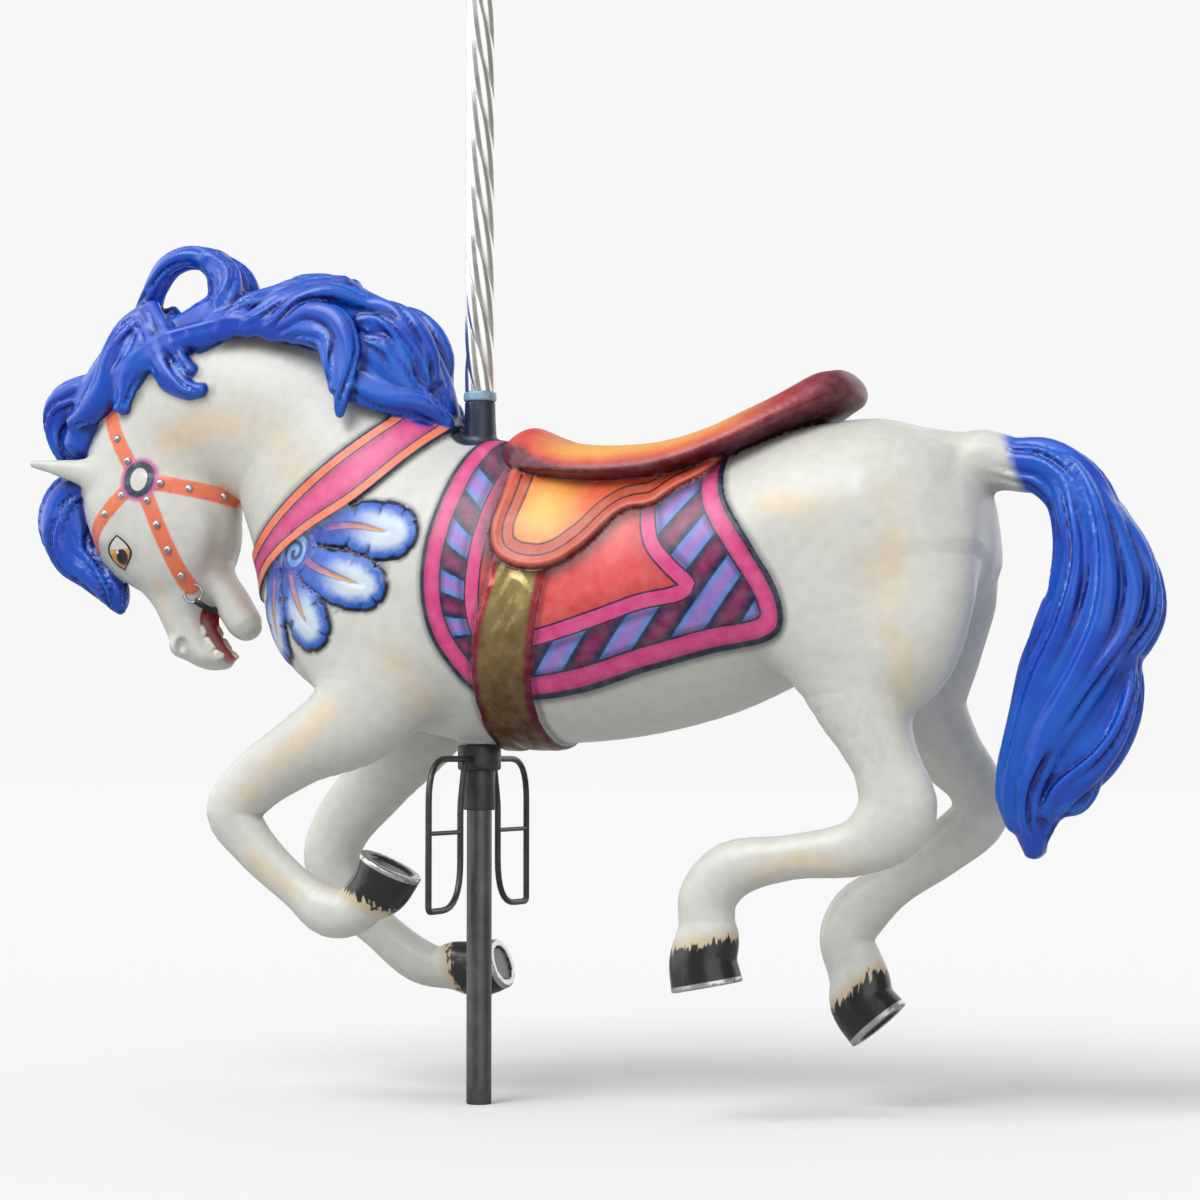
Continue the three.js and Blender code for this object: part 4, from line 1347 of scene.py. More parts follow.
def saddle_group():
    """Saddle cloth, flap, girth and seat colours from their edge distances, with painted shadows beside the
    raised parts and painted light and shade on the seat and girth.
    """
    tree, t, i, o = group(
        "Saddle Paint",
        [
            ("Under", RGB), ("Saddle", VEC), ("Bands", VEC), ("Seat", FLOAT), ("Rise", FLOAT), (
                "Stripe", FLOAT,
            ), ("Place", VEC),
            ("Pink", RGB), ("Orange", RGB), ("Red", RGB), ("Navy", RGB),
        ],
        [("Color", RGB), ("Gold", FLOAT)],
    )
    cloth, panel, flap = t.parts(i["Saddle"])
    girth, collar, _ = t.parts(i["Bands"])
    x, _, z = t.parts(i["Place"])
    navy, pink, orange, red = i["Navy"], i["Pink"], i["Orange"], i["Red"]
    rough = t.noise(i["Place"], 60.0, 4.0)
    wobble = (t.noise(i["Place"], 22.0) - 0.5) * 2.2
    cloth = cloth + wobble
    panel = panel + wobble
    flap = flap + wobble * 0.5
    # painted shadow: soft navy just outside the cloth's raised edge
    c = t.mix(t.step(cloth, -5.0, 5.0) * 0.6, i["Under"], navy)
    # stripes
    turn = t.math("FRACT", i["Stripe"] / STRIPE_PITCH)
    blue = t.mix(t.between(turn, 0.12, 0.38, 0.12) * 0.9, colour(92, 145, 222), colour(172, 118, 205))
    dark = t.mix(t.between(turn, 0.60, 0.88, 0.10), colour(40, 36, 72), colour(138, 44, 92))
    stripe = t.mix(t.step(turn, 0.5, 0.015), blue, dark)
    middle = t.step(abs(turn - 0.5), 0.022, 0.012, True)
    line = t.math("MAXIMUM", middle, t.step(abs(t.math("FRACT", turn + 0.5) - 0.5), 0.022, 0.012, True))
    stripe = t.mix(line * 0.85, stripe, navy)
    edge = t.between(cloth, 28.0, 36.0, 4.0) + t.between(panel, -10.0, 0.0, 5.0)
    stripe = t.mix(edge * 0.55, stripe, navy)
    c = t.mix(t.step(cloth, 0.0), c, navy)
    edges = t.math("MAXIMUM", t.step(cloth, 11.0, 5.0, True), t.step(cloth, 26.0, 5.0))
    shade = t.mix(edges * 0.5, pink, colour(140, 36, 92))
    c = t.mix(t.step(cloth, 7.0, 1.0), c, shade)
    c = t.mix(t.step(cloth, 28.5, 0.6), c, navy)
    c = t.mix(t.step(cloth, 31.0, 0.6), c, stripe)
    inner = t.math("MINIMUM", panel, cloth - 40.0)
    c = t.mix(t.step(inner, 0.0), c, navy)
    c = t.mix(t.step(inner, 2.2, 0.8), c, pink)
    c = t.mix(t.step(inner, 19.5), c, navy)
    field_red = t.mix(t.step(z, 0.70, 0.12), colour(238, 96, 88), red)
    field_red = t.mix(t.step(inner, 34.0, 14.0, True) * 0.35, field_red, colour(150, 40, 70))
    c = t.mix(t.step(inner, 22.0, 0.8), c, field_red)
    # the flap's shadow on the panel, then the flap
    on_cloth = t.step(cloth, 0.0)
    c = t.mix(t.step(flap, -13.0, 13.0) * on_cloth * 0.85, c, colour(48, 20, 40))
    # girth under the flap
    fold = t.noise(t.vector("MULTIPLY", i["Place"], (1.0, 1.0, 0.45)), 36.0, 6.0, 0.62)
    # Painted shade: the gold and its edges darken below this height, towards the bottom of the girth.
    height = t.step(z, 0.60, 0.11)
    gold = t.mix(fold, colour(112, 88, 44), colour(206, 186, 118))
    gold = t.mix(height, t.mix(fold, colour(52, 30, 20), colour(132, 96, 52)), gold)
    gold = t.mix(t.step(girth, 10.0, 4.0, True), gold, t.mix(height, colour(92, 20, 48), colour(178, 60, 70)))
    on_girth = t.step(girth, 0.0)
    # Painted shadow: a dark band just outside the raised girth.
    c = t.mix(t.between(girth, -7.0, 0.0, 5.0) * 0.6, c, colour(40, 24, 44))
    c = t.mix(on_girth, c, gold)
    # Painted shadow of the flap's edge on the girth.
    c = t.mix(on_girth * t.step(flap, -7.0, 7.0) * 0.8, c, colour(40, 18, 20))
    rim = t.mix(t.step(flap, 5.5, 5.0, True), colour(206, 92, 66), colour(90, 34, 40))
    rim = t.mix(t.step(z, 0.79, 0.05) * 0.6, rim, colour(226, 96, 70))
    away = t.vector("SUBTRACT", i["Place"], (0.148, 0.0, 0.775))
    near = t.vector("LENGTH", t.vector("MULTIPLY", away, (1.0, 0.0, 1.0)))
    centre = t.mix(t.step(near, 0.036, 0.040), colour(255, 200, 98), colour(232, 98, 62))
    c = t.mix(t.step(flap, 0.0, 0.8), c, rim)
    c = t.mix(t.step(flap, 18.0), c, colour(70, 24, 36))
    c = t.mix(t.step(flap, 20.5), c, colour(196, 88, 62))
    c = t.mix(t.step(flap, 32.5), c, colour(70, 24, 36))
    c = t.mix(t.step(flap, 35.0, 1.5), c, centre)
    # seat, with a painted highlight along its top, painted shade low down and a painted shadow round it
    seat = i["Seat"]
    rise = i["Rise"] + (t.noise(i["Place"], 14.0) - 0.5) * 0.15
    top = t.mix(t.step(x, 0.40, 0.10), colour(226, 70, 60), colour(150, 38, 52))
    # Painted highlight: yellow along the top of the seat.
    seat_highlight = t.between(x, 0.130, 0.400, 0.055) * t.step(rise, 0.50, 0.26)
    top = t.mix(seat_highlight, top, colour(255, 186, 92))
    # Painted shade on the lower part of the seat.
    top = t.mix(t.step(rise, 0.30, 0.18, True) * 0.9, top, colour(62, 20, 44))
    top = t.mix(t.step(x, 0.485, 0.03) * 0.7, top, colour(70, 22, 40))
    # Painted shadow round the seat's edge on the cloth and body.
    c = t.mix(t.step(seat, -8.0, 8.0) * 0.95, c, colour(32, 24, 48))
    c = t.mix(t.step(seat, 0.0, 0.8), c, top)
    # collar band
    # Painted shadow: soft navy just outside the raised band.
    c = t.mix(t.step(collar, -6.0, 6.0) * 0.6, c, navy)
    band = t.mix(t.step(collar, 4.0), navy, orange)
    band = t.mix(t.step(collar, 15.0), band, navy)
    band = t.mix(t.step(collar, 17.5), band, t.mix(t.step(collar, 24.0, 7.0), colour(186, 56, 116), pink))
    c = t.mix(t.step(collar, 0.0), c, band)
    speck = (rough - 0.5) * 0.16
    c = t.mix(1.0, c, t.joined(speck, speck, speck), "ADD")
    t.put(o["Color"], c)
    t.put(o["Gold"], on_girth * t.step(flap, 0.0, 0.8, True))
    return tree


def bridle_group():
    """Straps, rosette and eye, drawn from the place on the head."""
    tree, t, i, o = group(
        "Bridle And Eye",
        [("Under", RGB), ("Strap", FLOAT), ("Place", VEC), ("Orange", RGB), ("Pink", RGB), ("Navy", RGB)],
        [("Color", RGB), ("Shine", FLOAT)],
    )
    x, _, z = t.parts(i["Place"])
    wobble = (t.noise(i["Place"], 90.0) - 0.5) * 2.0
    strap = i["Strap"] + wobble
    on_head = t.step(x, -0.285, 0.002, True)
    c = t.mix(t.step(strap, 0.0, 1.8) * on_head, i["Under"], i["Orange"])

    def ring(middle, wide, tall):
        dx = (x - middle[0] * MM) / (wide * MM)
        dz = (z - middle[1] * MM) / (tall * MM)
        return t.math("SQRT", dx * dx + dz * dz)

    r = ring(ROSETTE, 29, 30)
    rim = t.step(r, 1.0, 0.14, True)
    c = t.mix(rim, c, t.mix(t.step(r, 0.85, 0.12), colour(190, 70, 140), colour(205, 110, 165)))
    r = ring(ROSETTE, 23, 25)
    beads = t.step(t.noise(i["Place"], 420.0, 1.0), 0.56, 0.04) * 0.55
    c = t.mix(t.step(r, 1.0, 0.06, True), c, t.mix(beads, i["Navy"], colour(80, 100, 130)))
    r = ring(ROSETTE, 12.5, 16)
    pearl = t.step(r, 1.0, 0.05, True)
    c = t.mix(pearl, c, colour(226, 226, 218))
    # eye: a dark almond, pointed at the top, with a white, an iris, a pupil and a painted highlight
    ex, ez = EYE
    tall = (z - (ez - 1) * MM) / (24.5 * MM)
    shift = x - ex * MM - tall * (-1.0 * MM)
    width = (1.0 - abs(tall) ** 1.7) * (24 * MM)
    almond = (width - abs(shift)) / MM
    near_eye = t.step(ring(EYE, 40, 44), 1.0, 0.05, True)
    outside = t.step(almond, 0.0, 0.7) * near_eye
    c = t.mix(t.step(almond, -9.0, 9.0) * near_eye * 0.22, c, colour(150, 135, 110))
    c = t.mix(outside, c, colour(22, 20, 20))
    inside = t.step(almond, 4.4, 0.7) * near_eye
    eye = t.mix(t.step(tall, 0.18, 0.05, True), colour(226, 226, 224), colour(202, 142, 52))
    eye = t.mix(t.between(tall, -0.02, 0.16, 0.10), eye, colour(232, 178, 84))
    pupil = ring((ex + 4, ez - 7), 10.5, 10.5)
    eye = t.mix(t.step(pupil, 1.0, 0.08, True), eye, colour(20, 18, 18))
    # Painted highlight: a small white glint in the eye.
    eye = t.mix(t.step(ring((ex - 4, ez), 2.2, 2.4), 1.0, 0.25, True), eye, colour(236, 240, 244))
    c = t.mix(inside, c, eye)
    t.put(o["Color"], c)
    t.put(o["Shine"], t.math("MAXIMUM", pearl, outside))
    return tree


def petal_group():
    """Blue feathered petals with an orange vein and dark outline, round a scrolled heart."""
    inputs = [("Under", RGB), ("Petal", VEC), ("Notch", FLOAT), ("Place", VEC)]
    tree, t, i, o = group("Petal Paint", inputs, [("Color", RGB)])
    inside, along, across = t.parts(i["Petal"])
    x, _, z = t.parts(i["Place"])
    wobble = (t.noise(i["Place"], 60.0) - 0.5) * 1.6
    inside = inside + wobble
    side = abs(across)
    # Painted shadow: a soft dark band just outside the raised petals.
    c = t.mix(t.step(inside, -4.0, 4.0) * 0.75, i["Under"], colour(34, 40, 60))
    white = t.step(inside, 11.0 + t.noise(i["Place"], 130.0) * 8.0, 8.0) * t.step(along, 0.58, 0.28)
    blue = t.mix(t.step(along, 0.25, 0.28, True), colour(46, 104, 204), colour(26, 64, 162))
    leaf = t.mix(white, blue, colour(212, 227, 242))
    leaf = t.mix(t.step(inside, 5.0, 4.0, True) * 0.55, leaf, colour(28, 70, 165))
    notch = t.step(i["Notch"], 0.065, 0.03, True)
    notch = notch * (t.step(inside, 15.0, 5.0, True) * t.step(along, 0.42, 0.05))
    leaf = t.mix(notch * 0.9, leaf, colour(22, 28, 48))
    fade = t.between(along, 0.14, 0.90, 0.05)
    wide = 1.04 - along
    outline = t.step(side, wide * 0.30, 0.05, True) * fade
    leaf = t.mix(outline * 0.75, leaf, colour(58, 48, 96))
    vein = t.step(side, wide * 0.19, 0.03, True) * fade
    leaf = t.mix(vein, leaf, t.mix(t.step(along, 0.5, 0.35), colour(146, 92, 158), colour(224, 164, 104)))
    c = t.mix(t.step(inside, -1.0, 0.8), c, colour(20, 28, 56))
    c = t.mix(t.step(inside, 3.2, 1.2), c, leaf)
    # the scroll where the petals meet
    dx = x - FLOWER_HEART[0] * MM
    dz = z - FLOWER_HEART[1] * MM
    away = t.math("SQRT", dx * dx + dz * dz) / MM
    turn = t.math("ARCTAN2", dz, dx)
    wave = t.math("SINE", away * 0.42 - turn)
    scroll = t.mix(t.step(wave, 0.0, 0.9), colour(30, 62, 150), colour(120, 172, 232))
    scroll = t.mix(t.step(wave, -0.82, 0.12, True), scroll, colour(20, 28, 60))
    under = t.step(inside, 3.0, 2.0, True)
    heart = t.step(away, 38.0, 1.0, True) * t.math("MAXIMUM", under, t.step(away, 20.0, 1.0, True))
    c = t.mix(t.step(away, 41.0, 2.0, True) * (under * 0.9), c, colour(22, 30, 58))
    c = t.mix(heart, c, scroll)
    t.put(o["Color"], c)
    return tree


def horse_paint(paint):
    made, t, shader = material("horse_paint", 0.4, coat=0.18)
    shader.inputs["Coat Roughness"].default_value = 0.22
    place = t.out("ShaderNodeTexCoord", "Object")
    x, _, z = t.parts(place)
    hair, cut, seat = t.parts(t.attribute("hair_seat"))
    saddle = t.attribute("saddle")
    bands = t.attribute("bands")
    petal = t.attribute("petal")
    stripe, tooth, rise = t.parts(t.attribute("pattern"))
    tan, notch, crest = t.parts(t.attribute("airbrush_and_highlight"))
    hoof, shoe, mouth = t.parts(t.attribute("foot"))
    strap = t.parts(bands)[2]
    # coat: warm white with faint airbrushed tan
    cloud = t.noise(place, 5.0, 3.0)
    grain = t.noise(place, 260.0, 3.0)
    coat = t.mix(t.step(cloud, 0.5, 0.25), paint["coat"], colour(219, 219, 212))
    shade = tan * t.step(t.noise(place, 11.0, 2.0), 0.42, 0.22) * 0.55
    coat = t.mix(shade, coat, colour(236, 206, 158))
    # Painted shade: the coat turns greyer in crevices, where cut is high.
    coat = t.mix(t.step(cut, 0.20, 0.20) * 0.30, coat, colour(150, 146, 130))
    c = t.mix(t.step(mouth, -2.6, 1.4) * 0.8, coat, colour(196, 52, 60))
    c = t.mix(t.step(mouth, 0.0, 0.8), c, colour(176, 34, 40))
    c = t.mix(t.step(tooth, -0.4, 0.5), c, colour(226, 222, 208))
    from_pole = t.vector("LENGTH", t.vector("MULTIPLY", place, (1.0, 1.0, 0.0)))
    boss = t.step(from_pole, 0.045, 0.003, True) * t.step(z, 0.85, 0.004)
    petals = t.place(petal_group(), {"Under": c, "Petal": petal, "Notch": notch, "Place": place})
    dress = t.place(
        saddle_group(),
        {
            "Under": petals["Color"], "Saddle": saddle, "Bands": bands, "Seat": seat, "Rise": rise,
            "Stripe": stripe, "Place": place,
            **{name.title(): paint[name] for name in ("pink", "orange", "red", "navy")},
        },
    )
    c = t.mix(boss, dress["Color"], paint["navy"])
    face = t.place(
        bridle_group(),
        {
            "Under": c, "Strap": strap, "Place": place,
            **{name.title(): paint[name] for name in ("orange", "pink", "navy")},
        },
    )
    c = face["Color"]
    # hooves with a ragged coronet and a metal shoe
    strokes = t.noise(t.vector("MULTIPLY", place, (1.0, 1.0, 0.22)), 210.0, 1.0)
    ragged = hoof + (strokes - 0.5) * 34.0
    c = t.mix(t.step(hoof, -12.0, 9.0) * 0.85, c, colour(214, 190, 150))
    c = t.mix(t.step(ragged, -1.0, 3.0), c, colour(30, 30, 32))
    on_hoof = t.step(hoof, 2.0, 2.0)
    on_shoe = t.step(shoe, 0.0, 0.7)
    c = t.mix(on_shoe, c, colour(200, 200, 202))
    # hair, with a painted highlight on the crests of the locks and painted shade in the cuts between them
    tuft = hair + (t.noise(place, 70.0) - 0.5) * 5.0
    lock = t.mix(t.step(t.noise(place, 14.0), 0.5, 0.2) * 0.5, paint["hair"], paint["hair_pale_and_highlight"])
    # Painted highlight: pale blue on the crest of each lock.
    lock = t.mix(t.step(crest, 0.30, 0.28) * 0.75, lock, paint["hair_pale_and_highlight"])
    # Painted shade: dark blue in the cuts between the locks.
    lock = t.mix(t.step(cut, 0.16, 0.16) * 0.85, lock, paint["hair_shade"])
    dock = x + (z - 0.86) * 0.33
    bare = t.step(x, 0.60, 0.01) * t.step(z, 0.765, 0.01) * t.step(dock + strokes * 0.006, 0.722, 0.009, True)
    on_hair = t.step(tuft, 0.0, 3.0) * (1.0 - bare)
    c = t.mix(on_hair, c, lock)
    c = t.mix((grain - 0.5) * 0.05, c, colour(90, 90, 90))
    t.put(shader.inputs["Base Color"], c)
    rough = t.mix(on_hair, (0.42, 0.42, 0.42, 1), (0.30, 0.30, 0.30, 1))
    rough = t.mix(dress["Gold"], rough, (0.30, 0.30, 0.30, 1))
    rough = t.mix(t.math("MAXIMUM", on_hoof, on_shoe), rough, (0.26, 0.26, 0.26, 1))
    rough = t.mix(face["Shine"], rough, (0.14, 0.14, 0.14, 1))
    uneven = (t.noise(place, 90.0, 4.0) - 0.5) * 0.12
    t.put(shader.inputs["Roughness"], rough + uneven)
    t.put(shader.inputs["Metallic"], t.math("MAXIMUM", dress["Gold"] * 0.5, on_shoe * 0.9))
    brush = t.noise(place, 330.0, 4.0, 0.6)
    crumple = t.noise(t.vector("MULTIPLY", place, (1.0, 1.0, 0.5)), 42.0, 6.0, 0.6)
    height = brush * 0.10 + crumple * dress["Gold"] * 1.6
    bump = t.add("ShaderNodeBump", {"Height": height, "Distance": 0.002, "Strength": 0.5})
    t.put(shader.inputs["Normal"], bump.outputs[0])
    return made


def plain_metal(name, base, dark, roughness, scale=90.0, metallic=1.0, bump=0.0004):
    made, t, shader = material(name, roughness, metallic)
    place = t.out("ShaderNodeTexCoord", "Object")
    cloud = t.noise(place, scale, 5.0, 0.6)
    t.put(shader.inputs["Base Color"], t.mix(t.step(cloud, 0.5, 0.25), dark, base))
    t.put(shader.inputs["Roughness"], cloud * 0.22 + (roughness - 0.11))
    relief = {"Height": t.noise(place, scale * 6, 3.0), "Distance": bump, "Strength": 0.6}
    t.put(shader.inputs["Normal"], t.out("ShaderNodeBump", 0, relief))
    return made


def assign(thing, *made):
    thing.data.materials.clear()
    for m in made:
        thing.data.materials.append(m)


# ---- geometry node groups ----
def sleeve_nodes():
    """A tube with rounded ribs that wind round it, from a grid bent into a closed shell."""
    tree, t, i, o = group(
        "Twisted Sleeve",
        [
            ("Rib Top Radius", FLOAT, 0.0204), ("Groove Depth", FLOAT, 0.0026), ("Bore Radius", FLOAT, 0.017),
            ("Bottom", FLOAT, 0.9483), ("Top", FLOAT, 1.53), ("Lead", FLOAT, 0.268),
            ("Starts", "NodeSocketInt", 4), ("Material", "NodeSocketMaterial"),
        ],
        [("Geometry", "NodeSocketGeometry")],
        "GeometryNodeTree",
    )
    levels = 160
    counts = {"Vertices X": 97, "Vertices Y": 2 * levels + 3}
    grid = t.add("GeometryNodeMeshGrid", {"Size X": 1.0, "Size Y": 1.0, **counts})
    place = t.add("GeometryNodeInputPosition").outputs[0]
    px, py, _ = t.parts(place)
    angle = (px + 0.5) * (2 * math.pi)
    row = t.math("ROUND", (py + 0.5) * float(2 * levels + 2))
    outer = t.math("LESS_THAN", row, levels + 0.5) + t.math("GREATER_THAN", row, 2 * levels + 1.5)
    level = t.math("MINIMUM", row, float(2 * levels + 1) - row)
    climb = t.math("DIVIDE", level, float(levels), clamp=True)
    tall = i["Top"] - i["Bottom"]
    z = t.math("MULTIPLY_ADD", climb, tall, i["Bottom"])
    wind = climb * tall * (2 * math.pi) / i["Lead"]
    wave = abs(t.math("SINE", angle * i["Starts"] * 0.5))
    wave = wave ** 0.75
    radius = t.add("ShaderNodeMix", data_type="FLOAT")
    t.put(radius.inputs[0], outer)
    t.put(radius.inputs[2], i["Bore Radius"])
    t.put(radius.inputs[3], i["Rib Top Radius"] - (1.0 - wave) * i["Groove Depth"])
    r = radius.outputs[0]
    turned = angle - wind
    where = t.joined(r * t.math("COSINE", turned), r * t.math("SINE", turned), z)
    bent = t.add("GeometryNodeSetPosition", {"Geometry": grid.outputs["Mesh"], "Position": where})
    joined = t.add("GeometryNodeMergeByDistance", {"Geometry": bent.outputs[0], "Distance": 0.00002})
    shade = t.add("GeometryNodeSetShadeSmooth", {"Geometry": joined.outputs[0]})
    solid = t.add("GeometryNodeRealizeInstances", {"Geometry": shade.outputs[0]})
    done = t.add("GeometryNodeSetMaterial", {"Geometry": solid.outputs[0], "Material": i["Material"]})
    t.put(o["Geometry"], done.outputs[0])
    return tree


def stud_nodes():
    """A domed stud on every point, turned to face away from the head."""
    tree, t, i, o = group(
        "Bridle Studs",
        [
            ("Points", "NodeSocketGeometry"), ("Stud Radius", FLOAT, 0.004), ("Dome Height", FLOAT, 0.65),
            ("Material", "NodeSocketMaterial"),
        ],
        [("Geometry", "NodeSocketGeometry")],
        "GeometryNodeTree",
    )
    dome = t.add("GeometryNodeMeshUVSphere", {"Segments": 20, "Rings": 12, "Radius": 1.0})
    facing = t.add("GeometryNodeInputNamedAttribute", {"Name": "facing"}, data_type="FLOAT_VECTOR")
    turn = t.add("FunctionNodeAlignRotationToVector", {"Vector": facing.outputs[0]}, axis="Z")
    wide = i["Stud Radius"]
    values = {"Scale": t.joined(wide, wide, wide * i["Dome Height"])}
    values = {"Points": i["Points"], "Instance": dome.outputs[0], "Rotation": turn.outputs[0], **values}
    placed = t.add("GeometryNodeInstanceOnPoints", values)
    solid = t.add("GeometryNodeRealizeInstances", {"Geometry": placed.outputs[0]})
    shade = t.add("GeometryNodeSetShadeSmooth", {"Geometry": solid.outputs[0]})
    done = t.add("GeometryNodeSetMaterial", {"Geometry": shade.outputs[0], "Material": i["Material"]})
    t.put(o["Geometry"], done.outputs[0])
    return tree


def grown(thing, tree, **values):
    """Runs a geometry node group on an object and keeps the result as plain mesh."""
    modifier = thing.modifiers.new(tree.name, "NODES")
    modifier.node_group = tree
    for item in tree.interface.items_tree:
        if item.item_type == "SOCKET" and item.in_out == "INPUT" and item.name in values:
            modifier[item.identifier] = values[item.name]
    thing.update_tag()
    bpy.context.view_layer.update()
    return baked(thing)


def skin_point(x, z, sign):
    """The head's surface at a place seen from the side, and which way it faces."""
    ys = np.linspace(0.110, 0.0, 111)
    d = distances(np.stack([np.full(111, x), sign * ys, np.full(111, z)], 1))
    hit = np.nonzero(d < 0)[0]
    if not len(hit):
        raise RuntimeError("no surface for a bridle fitting at %.3f %.3f" % (x, z))
    p = np.array([[x, sign * ys[hit[0]], z]])
    _, normal, _ = slope(p, 2 * MM)
    return p[0], normal[0]


# ---- sizes and colours a user may change ----
def colour_property(name, description, r, g, b):
    limits = {"subtype": "COLOR", "size": 4, "min": 0, "max": 1}
    return bpy.props.FloatVectorProperty(
        name=name, description=description, default=colour(r, g, b), **limits
    )


def length_property(name, description, metres):
    limits = {"unit": "LENGTH", "min": 0.0001}
    return bpy.props.FloatProperty(name=name, description=description, default=metres, **limits)


class CarouselPaint(bpy.types.PropertyGroup):
    coat: colour_property("Coat", "Colour of the horse's body", 215, 216, 208)
    hair: colour_property("Hair", "Main colour of mane and tail", 10, 70, 196)
    # Pale blue for random patches in the hair and for the painted highlight on each lock's crest.
    hair_pale_and_highlight: colour_property("Hair Light", "Colour along the top of each lock", 18, 112, 220)
    # Dark blue used as painted shade in the cuts between the locks.
    hair_shade: colour_property("Hair Dark", "Colour in the cuts between locks", 10, 36, 128)
    pink: colour_property("Pink", "Colour of the cloth's borders", 226, 78, 142)
    orange: colour_property("Orange", "Colour of the bridle and collar edges", 240, 125, 88)
    red: colour_property("Red", "Colour of the saddle cloth's panel", 232, 80, 82)
    navy: colour_property("Navy", "Colour of the outlines", 32, 42, 66)


class CarouselSizes(bpy.types.PropertyGroup):
    pole_radius: length_property("Pole Radius", "Radius of the steel pole", 0.0167)
    pole_top: length_property("Pole Top", "Height of the pole's top", 1.57)
    rib_radius: length_property("Rib Radius", "Radius over the sleeve's ribs", 0.0204)
    groove_depth: length_property("Groove Depth", "Depth between the sleeve's ribs", 0.0026)
    sleeve_lead: length_property("Sleeve Lead", "Height in which a rib goes once round", 0.268)
    stud_radius: length_property("Stud Radius", "Radius of a bridle stud", 0.0056)
    stud_gap: length_property("Stud Gap", "Distance from one stud to the next", 0.0375)
    ring_radius: length_property("Bit Ring Radius", "Radius of a bit ring to the middle of its wire", 0.0125)


def settle(piece, replaced=None):
    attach(piece, "root")
    if replaced:
        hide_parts(replaced)
    return piece


class CAROUSEL_OT_horse(bpy.types.Operator):
    """Cast and paint the horse"""

    bl_idname = "carousel.horse"
    bl_label = "Painted Horse"

    def execute(self, context):
        paint = context.scene.carousel_paint
        names = ("coat", "hair", "hair_pale_and_highlight", "hair_shade", "pink", "orange", "red", "navy")
        thing = make_horse()
        assign(thing, horse_paint({name: tuple(getattr(paint, name)) for name in names}))
        settle(thing, "horse")
        return {"FINISHED"}


class CAROUSEL_OT_pole(bpy.types.Operator):
    """Turn the steel pole and the ring on the boss"""

    bl_idname = "carousel.pole"
    bl_label = "Pole And Ring"

    def execute(self, context):
        size = context.scene.carousel_sizes
        r, top = size.pole_radius, size.pole_top
        e = 2 * MM
        profile = [(0, 0), (r - e, 0), (r - 0.3 * e, 0.3 * e), (r, e)]
        profile += [(r, e + (top - 2 * e) * k / 60) for k in range(1, 60)]
        profile += [(r, top - e), (r - 0.3 * e, top - 0.3 * e), (r - e, top), (0, top)]
        pole = mesh_object("pole", *lathe(profile))
        pole.data.set_sharp_from_angle(angle=SHARP_ANGLE)
        assign(pole, plain_metal("pole_steel", colour(112, 112, 112), colour(92, 92, 92), 0.40, 30.0))
        settle(pole, "steel_pole")
        ring = mesh_object("boss_collar", *lathe(bevelled(22, 935.3, 948, 3)))
        ring.data.set_sharp_from_angle(angle=SHARP_ANGLE)
        assign(ring, plain_metal("ring_paint", colour(160, 200, 220), colour(120, 165, 190), 0.3, 70.0, 0.0))
        settle(ring, "boss_ring")
        return {"FINISHED"}


class CAROUSEL_OT_sleeve(bpy.types.Operator):
    """Wind the twisted sleeve round the pole"""

    bl_idname = "carousel.sleeve"
    bl_label = "Twisted Sleeve"

    def execute(self, context):
        size = context.scene.carousel_sizes
        chrome = plain_metal(
            "sleeve_chrome", colour(228, 227, 224), colour(214, 213, 210), 0.24, 40.0, bump=0.0001,
        )
        sleeve = mesh_object("sleeve", [(0, 0, 0)], [])
        sizes = {
            "Rib Top Radius": size.rib_radius, "Groove Depth": size.groove_depth, "Lead": size.sleeve_lead,
        }
        grown(sleeve, sleeve_nodes(), **sizes, Material=chrome)
        if not len(sleeve.data.polygons):
            raise RuntimeError("the twisted sleeve came out empty")
        sleeve.data.set_sharp_from_angle(angle=SHARP_ANGLE)
        settle(sleeve, "twisted_sleeve")
        return {"FINISHED"}


class CAROUSEL_OT_footrest(bpy.types.Operator):
    """Weld up the footrest: its collar and two stirrup loops"""

    bl_idname = "carousel.footrest"
    bl_label = "Footrest"

    def execute(self, context):
        shells = [lathe(bevelled(28.9, 442, 475.7, 4)), lathe(bevelled(21, 389, 445, 1.5))]
        inner, outer = LOOP_CORNERS[3][0] * MM, LOOP_CORNERS[1][0] * MM
        for sign in (-1, 1):
            line = bent([(sign * y, z) for y, z in LOOP_CORNERS], LOOP_BENDS)
            shells.append(sweep([(0, y * MM, z * MM) for y, z in line], LOOP_BAR * MM))
            rung = [(0, sign * y, RUNG_HEIGHT * MM) for y in (inner, outer)]
            shells.append(sweep(rung, RUNG_BAR * MM))
        rest = mesh_object("footrest_frame", *gathered(shells))
        rest.data.set_sharp_from_angle(angle=SHARP_ANGLE)
        assign(rest, plain_metal("footrest_steel", colour(84, 84, 86), colour(62, 62, 64), 0.42, 40.0, 0.75))
        settle(rest, "footrest")
        return {"FINISHED"}


